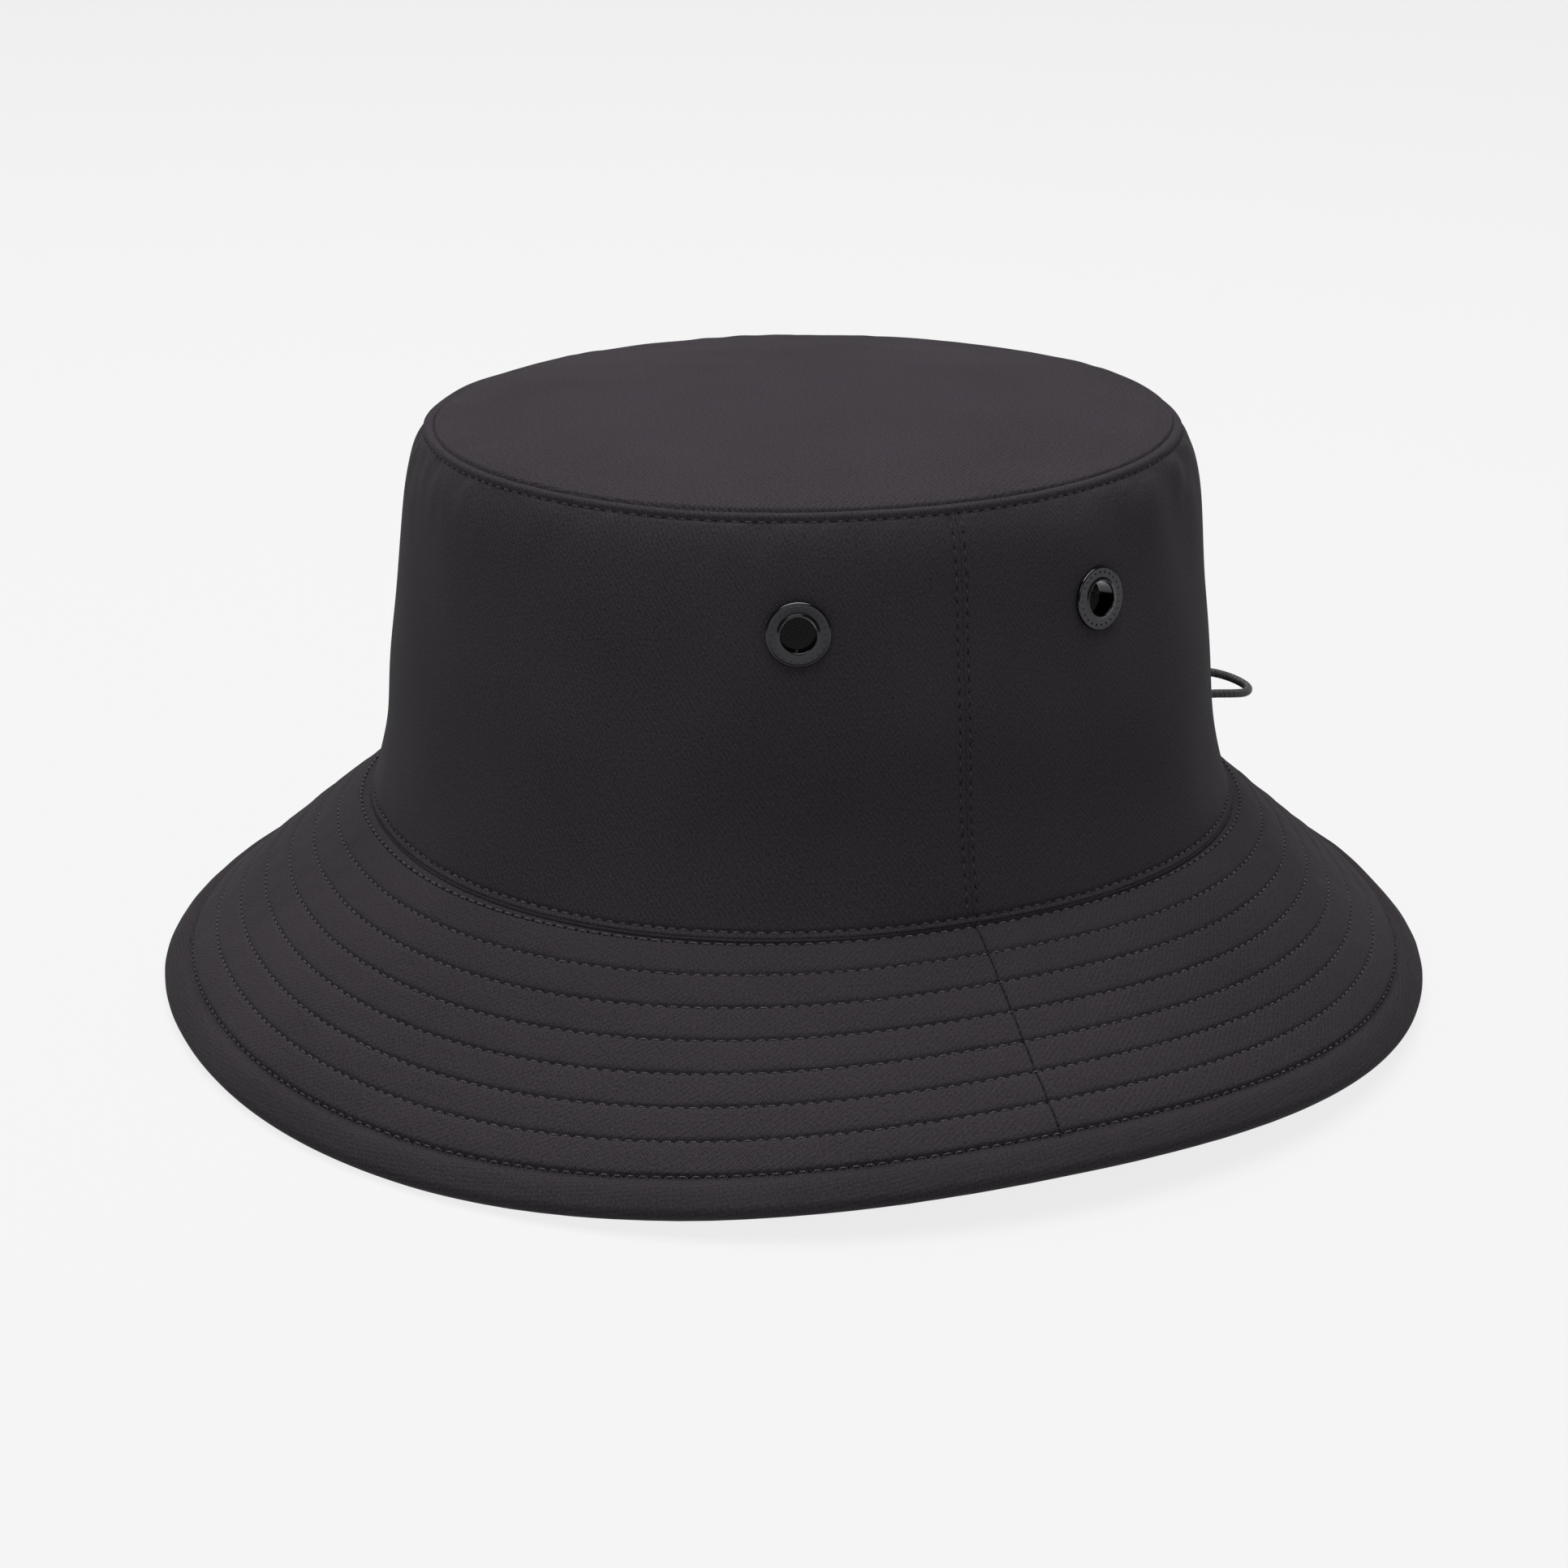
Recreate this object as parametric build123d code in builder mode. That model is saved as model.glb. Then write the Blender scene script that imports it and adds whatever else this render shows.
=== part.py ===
"""Bucket hat with a quilted brim, side air eyelets and an adjusting drawcord at the back.

Millimetres.  +Z is up, the front of the hat is -Y, the wearer's left side is +X, and the
lowest edge of the brim stands on z = 0.  Angles run from +X (left side seam) towards +Y
(centre back).
"""
import os
from math import atan2, cos, degrees, exp, hypot, pi, radians, sin, tan

from build123d import *

# ---------------------------------------------------------------- driving dimensions
SEAM_HEIGHT = 41.78            # crown and brim seam above the floor
HEAD_HALF_WIDTH = 90.5         # crown at the brim seam, outside of the cloth
HEAD_HALF_LENGTH = 97.1
HEAD_SQUARENESS = 2.16         # superellipse exponent, 2 is a plain ellipse
CROWN_HEIGHT = 84.4            # brim seam to tip seam
TIP_HALF_WIDTH = 74.0
TIP_HALF_LENGTH = 82.0
WALL_SHOULDER = 4.9            # the wall stands out below the tip seam, then rolls in to it
SHOULDER_ROUNDNESS = 14        # the larger, the tighter that roll
WALL_WAIST = 1.4               # and draws in a little above the brim seam
WAIST_PART = 0.2               # where, as a part of the crown's height
WAIST_SPREAD = 0.18
TIP_DOME = 7.0                 # rise of the tip panel above its seam
TIP_FULLNESS = 2.4             # the larger, the flatter its middle
TIP_INSET = 3.0                # the layers under the tip stop short of its seam

EDGE_HALF_WIDTH = 137.7        # outer edge of the brim
EDGE_HALF_LENGTH = 142.2
EDGE_SQUARENESS = 2.09
EDGE_FORWARD = 1.4             # the brim sits a little further forward than the crown
EDGE_DROP = 37.75              # mean drop from the brim seam to the brim edge
EDGE_SIDE_LIFT = 2.92          # the brim edge rises at both sides
EDGE_WAVE = 1.17               # dips a little between front, sides and back
EDGE_BACK_LIFT = 1.32          # and is higher at the back than at the front

WALL_CLOTH = 1.0               # crown cloth with its fusing
MESH = 0.4                     # mesh lining
GAP = 0.1                      # air between sewn layers
SEAM_CLEAR = 0.3               # inner layers stop short of a seam
TIP_FOAM = 0.8
BRIM_HALF = 1.4                # half the thickness of the quilted brim
BRIM_CLOTH = 0.8
BRIM_START = 0.15              # brim's inner edge outside the crown's face
BRIM_INTO_FOLD = 0.2           # brim layers reach past the centre of the rolled edge
BINDING_WIDTH = 9.2
BINDING_HALF = 2.2             # half the thickness of the rolled edge
BINDING_CLOTH = 0.7
FOLD_CLEAR = 0.4               # slot in the rolled edge past that centre
SWEATBAND_HEIGHT = 32.0         # its top edge above the brim seam
SWEATBAND_CLOTH = 1.0
SWEATBAND_OFFSET_FRONT = 2.2   # outside of the crown to outside of the sweatband
SWEATBAND_OFFSET_BACK = 5.2
CASING_LOW = 3.0               # drawcord casing above the brim seam
CASING_HIGH = 20.0
CASING_OFFSET = 1.65
CASING_CLOTH = 0.4
CASING_END = 6.0               # angle where the casing stops short of the side seam

EYELET_ANGLE = 23.6            # either side of the side seam
EYELET_HEIGHT = 62.2           # above the brim seam
EYELET_FLANGE_RADIUS = 6.6
EYELET_BORE_RADIUS = 3.6
EYELET_BARREL_RADIUS = 4.1
EYELET_BARREL_DEPTH = 2.9
EYELET_ROLL_RADIUS = 5.0
EYELET_METAL = 0.8
EYELET_ROUNDING = 0.56
BARREL_CLEAR = 0.25            # cloth clear of each barrel
DRILL_LENGTH = 14.0
WASHER_RADIUS = 6.4
WASHER_METAL = 0.5
WASHER_DEPTH = 1.95            # outside of the crown to the washer's outer face

CORD_DIAMETER = 2.0
CORD_HEIGHT = 11.2             # above the brim seam
CORD_SPACING = 9.0             # between the two strands where they leave the crown
CORD_TILT = 20.0               # the loop lies over, with its left strand the lower one
CORD_DEPTH = 3.65              # cord centre inside the outer face of the crown
CORD_EYELET_FLANGE_RADIUS = 3.1
CORD_EYELET_BORE_RADIUS = 1.6
CORD_EYELET_BARREL_RADIUS = 2.0
CORD_EYELET_DEPTH = 2.4
CORD_EYELET_METAL = 0.5

LOCK_STANDOFF = 2.4            # outer face of the crown to the lock
LOCK_WIDTH = 16.4
LOCK_DEPTH = 4.8
LOCK_BELOW = 7.6               # lock body below and above the cords
LOCK_ABOVE = 5.0
LOCK_BORE_RADIUS = 1.55
LOCK_POCKET_WIDTH = 14.2
LOCK_POCKET_DEPTH = 3.0
LOCK_POCKET_FLOOR = -6.8
LOCK_CORNER = 3.0
LOCK_ROUNDING = 1.2
PLUNGER_WIDTH = 13.8
PLUNGER_DEPTH = 2.6
PLUNGER_BOTTOM = -2.35
PLUNGER_TOP = 8.4
BUTTON_ROUNDING = 0.9
WINDOW_WIDTH = 12.0
WINDOW_BOTTOM = -1.35
WINDOW_TOP = 3.7
SPRING_RADIUS = 0.95
SPRING_WIRE = 0.35
SPRING_PITCH = 1.25
SPRING_PLAY = 0.05             # at either end of the spring

SECTIONS_PER_HALF = 12         # loft sections round half of the hat
WALL_STEPS = 8                 # spline spans up a layer of the wall
SEAM_GAP = 0.04                # degrees left open where two panels meet

FRONT_HALF = (-180.0, 0.0)
BACK_HALF = (0.0, 180.0)
ALL_ROUND = (90.0, 450.0)      # one strip with its butt join at the centre back


# ---------------------------------------------------------------- shape of the hat
def superellipse(angle, half_width, half_length, exponent):
    """Polar radius of a superellipse, half_width along X and half_length along Y."""
    across = abs(cos(radians(angle)) / half_width) ** exponent
    along = abs(sin(radians(angle)) / half_length) ** exponent
    return (across + along) ** (-1 / exponent)


def wall_radius(angle, height):
    """Outer face of the crown wall, height measured up from the brim seam."""
    base = superellipse(angle, HEAD_HALF_WIDTH, HEAD_HALF_LENGTH, HEAD_SQUARENESS)
    top = superellipse(angle, TIP_HALF_WIDTH, TIP_HALF_LENGTH, 2)
    part = height / CROWN_HEIGHT
    shoulder = WALL_SHOULDER * part ** 2 * (1 - part ** SHOULDER_ROUNDNESS)
    waist = WALL_WAIST * exp(-(((part - WAIST_PART) / WAIST_SPREAD) ** 2))
    return base + (top - base) * part + shoulder - waist


def edge_radius(angle):
    oval = superellipse(angle, EDGE_HALF_WIDTH, EDGE_HALF_LENGTH, EDGE_SQUARENESS)
    return oval - EDGE_FORWARD * sin(radians(angle))


def edge_height(angle):
    """Height of the brim edge above the floor."""
    turn = radians(angle)
    lift = EDGE_SIDE_LIFT * cos(2 * turn) + EDGE_WAVE * cos(4 * turn)
    return SEAM_HEIGHT - EDGE_DROP + lift + EDGE_BACK_LIFT * sin(turn)


def brim_frame(angle):
    """Seam point, slope and length of the brim in the half plane at this angle."""
    start = wall_radius(angle, 0) + BRIM_START
    run = edge_radius(angle) - start
    fall = SEAM_HEIGHT - edge_height(angle)
    return start, atan2(fall, run), hypot(run, fall)


def brim_point(angle, along, above):
    """Point in the half plane, along the brim from its seam and above its mid layer."""
    start, slope, _ = brim_frame(angle)
    radius = start + along * cos(slope) + above * sin(slope)
    height = SEAM_HEIGHT - along * sin(slope) + above * cos(slope)
    return radius, height


def sweatband_offset(angle):
    """The band stands further in at the back, where the drawcord runs behind it."""
    share = 1 - (1 - max(0.0, sin(radians(angle)))) ** 6
    return SWEATBAND_OFFSET_FRONT + (SWEATBAND_OFFSET_BACK - SWEATBAND_OFFSET_FRONT) * share


def half_plane(angle):
    turn = radians(angle)
    return Plane(origin=(0, 0, 0), x_dir=(cos(turn), sin(turn), 0), z_dir=(sin(turn), -cos(turn), 0))


def wall_point(angle, height, offset=0.0):
    """Point on the crown wall, offset inwards from its outer face."""
    radius = wall_radius(angle, height) - offset
    return Vector(radius * cos(radians(angle)), radius * sin(radians(angle)), SEAM_HEIGHT + height)


def wall_plane(angle, height):
    """Plane on the outer face of the crown wall, z pointing out of the hat."""
    around = wall_point(angle + 1, height) - wall_point(angle - 1, height)
    upwards = wall_point(angle, height + 1) - wall_point(angle, height - 1)
    normal = around.cross(upwards)
    return Plane(origin=wall_point(angle, height), x_dir=around, z_dir=normal)


# ---------------------------------------------------------------- section outlines
def wall_band(angle, low, high, offset, thickness):
    """Closed outline of a layer that follows the crown wall."""
    heights = [low + (high - low) * step / WALL_STEPS for step in range(WALL_STEPS + 1)]
    outer = [(wall_radius(angle, h) - offset, SEAM_HEIGHT + h) for h in heights]
    inner = [(radius - thickness, height) for radius, height in outer]
    with BuildSketch(half_plane(angle)) as section:
        with BuildLine():
            Spline(*outer)
            Line(outer[-1], inner[-1])
            Spline(*reversed(inner))
            Line(inner[0], outer[0])
        make_face()
    return section.sketch


def brim_band(angle, above, below):
    """Closed outline of one brim layer, from the crown seam to inside the binding."""
    length = brim_frame(angle)[2] - BINDING_HALF + BRIM_INTO_FOLD
    corners = [(0, above), (length, above), (length, below), (0, below)]
    with BuildSketch(half_plane(angle)) as section:
        with BuildLine():
            Polyline(*[brim_point(angle, along, height) for along, height in corners], close=True)
        make_face()
    return section.sketch


def binding_band(angle):
    """Closed outline of the binding, a strip folded round the brim's raw edge."""
    length = brim_frame(angle)[2]
    inner_edge = length - BINDING_WIDTH
    fold = length - BINDING_HALF
    inside = BINDING_HALF - BINDING_CLOTH
    upper = [(inner_edge, BINDING_HALF), (fold, BINDING_HALF)]
    lower = [(fold, -BINDING_HALF), (inner_edge, -BINDING_HALF), (inner_edge, -inside)]
    slot_end = fold + FOLD_CLEAR
    slot = [(slot_end, -inside), (slot_end, inside), (inner_edge, inside), (inner_edge, BINDING_HALF)]
    with BuildSketch(half_plane(angle)) as section:
        with BuildLine():
            Polyline(*[brim_point(angle, *place) for place in upper])
            ThreePointArc(
                brim_point(angle, fold, BINDING_HALF),
                brim_point(angle, length, 0),
                brim_point(angle, fold, -BINDING_HALF),
            )
            Polyline(*[brim_point(angle, *place) for place in lower + slot])
        make_face()
    return section.sketch


def loft_round(span, outline, *sizes):
    """Loft an outline through half planes from one angle to another."""
    first, last = span
    count = max(2, round(SECTIONS_PER_HALF * (last - first) / 180))
    first += SEAM_GAP
    last -= SEAM_GAP
    angles = [first + (last - first) * step / count for step in range(count + 1)]
    loft([outline(angle, *sizes) for angle in angles])


def cut_round_holes(planes, radius):
    """Drill holes of this radius through the cloth, square to each plane."""
    with Locations(*planes):
        Cylinder(radius, DRILL_LENGTH, mode=Mode.SUBTRACT)


parts = {}


def keep(name, builder):
    """Label a finished piece and remember it."""
    builder.part.label = name
    parts[name] = builder.part


# ---------------------------------------------------------------- where the hardware sits
EYELET_ANGLES = {
    "left_front": -EYELET_ANGLE,
    "left_back": EYELET_ANGLE,
    "right_back": 180 - EYELET_ANGLE,
    "right_front": EYELET_ANGLE - 180,
}
eyelet_planes = {place: wall_plane(angle, EYELET_HEIGHT) for place, angle in EYELET_ANGLES.items()}

# The drawcord leaves the crown at the centre back in a plane tilted about the Y axis:
# "side" runs across the loop towards the wearer's left, "rise" square to the loop.
side = Vector(cos(radians(CORD_TILT)), 0, -sin(radians(CORD_TILT)))
rise = Vector(sin(radians(CORD_TILT)), 0, cos(radians(CORD_TILT)))
cord_exit = wall_point(90, CORD_HEIGHT)
CORD_SIDES = {"left": 1, "right": -1}


def exit_plane(direction):
    """Plane on the crown where a strand leaves it."""
    across = side * (direction * CORD_SPACING / 2)
    angle = degrees(atan2(cord_exit.Y, across.X))
    return wall_plane(angle, CORD_HEIGHT + across.Z)


exit_planes = {name: exit_plane(direction) for name, direction in CORD_SIDES.items()}

# ---------------------------------------------------------------- crown
front_eyelets = [eyelet_planes["left_front"], eyelet_planes["right_front"]]
back_eyelets = [eyelet_planes["left_back"], eyelet_planes["right_back"]]
with BuildPart() as crown_panel_front:
    loft_round(FRONT_HALF, wall_band, 0, CROWN_HEIGHT, 0, WALL_CLOTH)
    cut_round_holes(front_eyelets, EYELET_BARREL_RADIUS + BARREL_CLEAR)
keep("crown_panel_front", crown_panel_front)

with BuildPart() as crown_panel_back:
    loft_round(BACK_HALF, wall_band, 0, CROWN_HEIGHT, 0, WALL_CLOTH)
    cut_round_holes(back_eyelets, EYELET_BARREL_RADIUS + BARREL_CLEAR)
    cut_round_holes(exit_planes.values(), CORD_EYELET_BARREL_RADIUS + BARREL_CLEAR)
keep("crown_panel_back", crown_panel_back)

LINING_OFFSET = WALL_CLOTH + GAP
LINING_LOW = 1.0
LINING_TOP = CROWN_HEIGHT - SEAM_CLEAR

with BuildPart() as lining_wall_front:
    loft_round(FRONT_HALF, wall_band, LINING_LOW, LINING_TOP, LINING_OFFSET, MESH)
    cut_round_holes(front_eyelets, EYELET_BARREL_RADIUS + BARREL_CLEAR)
keep("lining_wall_front", lining_wall_front)

with BuildPart() as lining_wall_back:
    loft_round(BACK_HALF, wall_band, LINING_LOW, LINING_TOP, LINING_OFFSET, MESH)
    cut_round_holes(back_eyelets, EYELET_BARREL_RADIUS + BARREL_CLEAR)
    cut_round_holes(exit_planes.values(), CORD_EYELET_BARREL_RADIUS + BARREL_CLEAR)
keep("lining_wall_back", lining_wall_back)


def tip_layer(reach, above, thickness):
    """Domed oval layer of the tip: revolved, then narrowed across the head."""
    shares = [0, 0.3, 0.55, 0.75, 0.9, 1]
    outer = [(reach * share, above + TIP_DOME * (1 - share ** TIP_FULLNESS)) for share in shares]
    inner = [(radius, height - thickness) for radius, height in outer]
    with BuildSketch(Plane.XZ) as profile:
        with BuildLine():
            Spline(*outer, tangents=[(1, 0), (0.3, -1)], tangent_scalars=[1, 0.6])
            Line(outer[-1], inner[-1])
            Spline(*reversed(inner), tangents=[(-0.3, 1), (-1, 0)], tangent_scalars=[0.6, 1])
            Line(inner[0], outer[0])
        make_face()
    revolve(profile.sketch, axis=Axis.Z)
    scale(by=(TIP_HALF_WIDTH / TIP_HALF_LENGTH, 1, 1))


TIP_SEAM = SEAM_HEIGHT + CROWN_HEIGHT + WALL_CLOTH + GAP

with BuildPart() as tip_panel:
    tip_layer(TIP_HALF_LENGTH, TIP_SEAM, WALL_CLOTH)
keep("tip_panel", tip_panel)

with BuildPart() as tip_interlining:
    tip_layer(TIP_HALF_LENGTH - TIP_INSET, TIP_SEAM - WALL_CLOTH - GAP, TIP_FOAM)
keep("tip_interlining", tip_interlining)

with BuildPart() as lining_tip:
    tip_layer(TIP_HALF_LENGTH - TIP_INSET - MESH, TIP_SEAM - WALL_CLOTH - TIP_FOAM - 2 * GAP, MESH)
keep("lining_tip", lining_tip)

# ---------------------------------------------------------------- brim
FILLING = BRIM_HALF - BRIM_CLOTH - GAP / 2

for half, span in (("front", FRONT_HALF), ("back", BACK_HALF)):
    with BuildPart() as brim_top:
        loft_round(span, brim_band, BRIM_HALF, BRIM_HALF - BRIM_CLOTH)
    keep(f"brim_top_{half}", brim_top)

    with BuildPart() as brim_interlining:
        loft_round(span, brim_band, FILLING, -FILLING)
    keep(f"brim_interlining_{half}", brim_interlining)

    with BuildPart() as brim_under:
        loft_round(span, brim_band, BRIM_CLOTH - BRIM_HALF, -BRIM_HALF)
    keep(f"brim_under_{half}", brim_under)

with BuildPart() as brim_edge_binding:
    loft_round(ALL_ROUND, binding_band)
keep("brim_edge_binding", brim_edge_binding)


# ---------------------------------------------------------------- inside of the head opening
def sweatband_band(angle):
    return wall_band(angle, SEAM_CLEAR, SWEATBAND_HEIGHT, sweatband_offset(angle), SWEATBAND_CLOTH)


with BuildPart() as sweatband:
    loft_round(ALL_ROUND, sweatband_band)
keep("sweatband", sweatband)

with BuildPart() as drawcord_casing:
    casing_span = (CASING_END, 180 - CASING_END)
    loft_round(casing_span, wall_band, CASING_LOW, CASING_HIGH, CASING_OFFSET, CASING_CLOTH)
    cut_round_holes(exit_planes.values(), CORD_EYELET_BARREL_RADIUS + BARREL_CLEAR)
keep("drawcord_casing", drawcord_casing)

# ---------------------------------------------------------------- eyelets
STAND = 0.1                    # flange clear of the cloth

for place, plane in eyelet_planes.items():
    with BuildPart(plane) as eyelet:
        with Locations((0, 0, STAND)):
            Cylinder(EYELET_FLANGE_RADIUS, EYELET_METAL, align=(Align.CENTER, Align.CENTER, Align.MIN))
        rim = eyelet.edges().filter_by(GeomType.CIRCLE).sort_by(Axis(plane.origin, plane.z_dir))[-1]
        fillet(rim, EYELET_ROUNDING)
        with Locations((0, 0, STAND)):
            Cylinder(EYELET_BARREL_RADIUS, EYELET_BARREL_DEPTH, align=(Align.CENTER, Align.CENTER, Align.MAX))
        with Locations((0, 0, STAND - EYELET_BARREL_DEPTH)):
            Cylinder(EYELET_ROLL_RADIUS, WASHER_METAL, align=(Align.CENTER, Align.CENTER, Align.MAX))
        Hole(EYELET_BORE_RADIUS)
    keep(f"eyelet_{place}", eyelet)

    with BuildPart(plane) as washer:
        with Locations((0, 0, -WASHER_DEPTH)):
            Cylinder(WASHER_RADIUS, WASHER_METAL, align=(Align.CENTER, Align.CENTER, Align.MAX))
        Hole(EYELET_BARREL_RADIUS + 0.05)
    keep(f"eyelet_washer_{place}", washer)

for name, plane in exit_planes.items():
    with BuildPart(plane) as cord_eyelet:
        with Locations((0, 0, STAND)):
            Cylinder(
                CORD_EYELET_FLANGE_RADIUS,
                CORD_EYELET_METAL,
                align=(Align.CENTER, Align.CENTER, Align.MIN),
            )
            Cylinder(
                CORD_EYELET_BARREL_RADIUS,
                CORD_EYELET_DEPTH,
                align=(Align.CENTER, Align.CENTER, Align.MAX),
            )
        Hole(CORD_EYELET_BORE_RADIUS)
    keep(f"cord_eyelet_{name}", cord_eyelet)


# ---------------------------------------------------------------- drawcord
def loop_point(across, out, drop):
    """Point of the loop: across it, straight out of the crown, and below its exit."""
    return cord_exit + side * across + Vector(0, out, 0) - Vector(0, 0, drop)


def held_point(direction, angle):
    """Point of the stretch inside the casing, counted from the wearer's left side."""
    across = side * (direction * CORD_SPACING / 2)
    spot = wall_point(angle, CORD_HEIGHT + across.Z, CORD_DEPTH)
    return Vector(direction * spot.X, spot.Y, spot.Z)


HELD_ANGLES = [22.8, 31.2, 39.6, 48.0, 56.4, 64.8, 73.2, 81.6]
HALF_SPACING = CORD_SPACING / 2

# Across the loop, out of the crown and down, from the left exit round to the right one.
LOOP_ROUTE = [
    (HALF_SPACING, -CORD_DEPTH, 0.0),
    (HALF_SPACING, 1.25, 0.0),
    (4.40, 9.2, 0.15),
    (4.45, 15.2, 0.9),
    (3.60, 19.6, 1.8),
    (0.90, 21.7, 2.4),
    (-2.60, 18.9, 1.9),
    (-4.35, 13.2, 0.7),
    (-4.45, 6.6, 0.1),
    (-HALF_SPACING, 1.25, 0.0),
    (-HALF_SPACING, -CORD_DEPTH, 0.0),
]

cord_route = [held_point(1, angle) for angle in HELD_ANGLES]
cord_route += [loop_point(*place) for place in LOOP_ROUTE]
cord_route += [held_point(-1, angle) for angle in reversed(HELD_ANGLES)]


def bend_radius(before, corner, after):
    """Largest easy arc at a corner: 0.45 of the shorter run over the half turn's tangent."""
    arriving = corner - before
    leaving = after - corner
    turn = radians(arriving.get_angle(leaving))
    return 0.45 * min(arriving.length, leaving.length) / tan(turn / 2)


cord_radii = [bend_radius(*cord_route[i - 1:i + 2]) for i in range(1, len(cord_route) - 1)]

with BuildPart() as drawcord:
    with BuildLine() as cord_path:
        FilletPolyline(*cord_route, radius=cord_radii)
    with BuildSketch(Plane(origin=cord_path.line @ 0, z_dir=cord_path.line % 0)):
        Circle(CORD_DIAMETER / 2)
    sweep()
keep("drawcord", drawcord)

cord_length = sum(edge.length for edge in cord_path.edges())
cord_section = pi * CORD_DIAMETER ** 2 / 4
print("drawcord bend radii", [round(radius, 1) for radius in cord_radii])
print("drawcord length", round(cord_length, 1), "tube over section x length",
      round(drawcord.part.volume / (cord_section * cord_length), 4))

# ---------------------------------------------------------------- cord lock
# Its own frame: x across the loop, y along the rise, z straight out of the crown.
lock_plane = Plane(origin=cord_exit + Vector(0, LOCK_STANDOFF, 0), x_dir=side * -1, z_dir=(0, 1, 0))
lock_middle = lock_plane.offset(LOCK_DEPTH / 2)

with BuildPart() as cord_lock_body:
    with BuildSketch(lock_plane):
        with Locations((0, (LOCK_ABOVE - LOCK_BELOW) / 2)):
            RectangleRounded(LOCK_WIDTH, LOCK_ABOVE + LOCK_BELOW, LOCK_CORNER)
    extrude(amount=LOCK_DEPTH)
    faces_out = cord_lock_body.faces().sort_by(Axis.Y)
    fillet(faces_out[-1].edges(), LOCK_ROUNDING)
    with BuildSketch(lock_plane):
        with Locations((-HALF_SPACING, 0), (HALF_SPACING, 0)):
            Circle(LOCK_BORE_RADIUS)
    extrude(amount=LOCK_DEPTH, mode=Mode.SUBTRACT)
    pocket_height = LOCK_ABOVE + 1 - LOCK_POCKET_FLOOR
    with BuildSketch(lock_middle):
        with Locations((0, LOCK_POCKET_FLOOR + pocket_height / 2)):
            Rectangle(LOCK_POCKET_WIDTH, pocket_height)
    extrude(amount=LOCK_POCKET_DEPTH / 2, both=True, mode=Mode.SUBTRACT)
keep("cord_lock_body", cord_lock_body)

with BuildPart() as cord_lock_button:
    with BuildSketch(lock_middle):
        with Locations((0, (PLUNGER_BOTTOM + PLUNGER_TOP) / 2)):
            Rectangle(PLUNGER_WIDTH, PLUNGER_TOP - PLUNGER_BOTTOM)
        with Locations((0, (WINDOW_BOTTOM + WINDOW_TOP) / 2)):
            Rectangle(WINDOW_WIDTH, WINDOW_TOP - WINDOW_BOTTOM, mode=Mode.SUBTRACT)
    extrude(amount=PLUNGER_DEPTH / 2, both=True)
    top_face = cord_lock_button.faces().sort_by(Axis(cord_exit, rise))[-1]
    fillet(top_face.edges(), BUTTON_ROUNDING)
keep("cord_lock_button", cord_lock_button)

SPRING_SPACE = PLUNGER_BOTTOM - LOCK_POCKET_FLOOR - SPRING_WIRE - 2 * SPRING_PLAY
spring_foot = lock_middle.from_local_coords((0, LOCK_POCKET_FLOOR + SPRING_WIRE / 2 + SPRING_PLAY, 0))

with BuildPart() as cord_lock_spring:
    with BuildLine() as coil:
        Helix(SPRING_PITCH, SPRING_SPACE, SPRING_RADIUS, center=spring_foot, direction=rise)
    with BuildSketch(Plane(origin=coil.line @ 0, z_dir=coil.line % 0)):
        Circle(SPRING_WIRE / 2)
    sweep(is_frenet=True)
keep("cord_lock_spring", cord_lock_spring)

# ---------------------------------------------------------------- export
os.makedirs("parts", exist_ok=True)
for name, part in parts.items():
    export_step(part, f"parts/{name}.step")
print(len(parts), "nodes")
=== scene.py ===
import math

import bmesh
import bpy
import numpy as np
from mathutils import Matrix, Vector


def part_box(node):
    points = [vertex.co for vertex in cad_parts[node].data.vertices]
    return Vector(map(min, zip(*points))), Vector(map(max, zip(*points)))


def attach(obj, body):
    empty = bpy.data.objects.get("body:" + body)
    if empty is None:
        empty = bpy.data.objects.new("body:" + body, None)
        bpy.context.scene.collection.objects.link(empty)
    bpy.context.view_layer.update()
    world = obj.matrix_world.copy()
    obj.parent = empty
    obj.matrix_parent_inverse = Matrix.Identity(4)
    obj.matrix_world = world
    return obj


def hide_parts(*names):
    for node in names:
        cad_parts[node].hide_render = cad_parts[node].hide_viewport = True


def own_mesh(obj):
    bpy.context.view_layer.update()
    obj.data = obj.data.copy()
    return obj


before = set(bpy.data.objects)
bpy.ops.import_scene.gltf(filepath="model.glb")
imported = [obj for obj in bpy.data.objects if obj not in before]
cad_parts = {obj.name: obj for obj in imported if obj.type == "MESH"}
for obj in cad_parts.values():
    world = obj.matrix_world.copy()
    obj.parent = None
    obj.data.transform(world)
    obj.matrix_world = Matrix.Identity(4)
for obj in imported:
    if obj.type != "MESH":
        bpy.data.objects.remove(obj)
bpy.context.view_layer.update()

# Lengths are in millimetres up to new_mesh(), which turns them into metres.
MM = 0.001


def node_box(name):
    low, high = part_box(name)
    return np.array(low) / MM, np.array(high) / MM


# ------------------------------------------------------------------ sizes from the frame
crown_low, crown_high = node_box("crown_panel_front")
tip_high = node_box("tip_panel")[1]
edge_low, edge_high = node_box("brim_edge_binding")
band_high = node_box("sweatband")[1]

SEAM = crown_low[2]                         # height of the crown and brim seam
HEAD_X, HEAD_Y = crown_high[0] + 0.4, -crown_low[1] + 0.4
CROWN_HEIGHT = crown_high[2] - SEAM + 1.0   # the cloth rolls up to meet the tip
TIP_X, TIP_Y = tip_high[0], tip_high[1]
TIP_TOP = tip_high[2]
EDGE_X, EDGE_Y = edge_high[0] - 0.4, (edge_high[1] - edge_low[1]) / 2 - 0.5
BAND_TOP = band_high[2] - SEAM              # top of the sweatband above the seam

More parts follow.
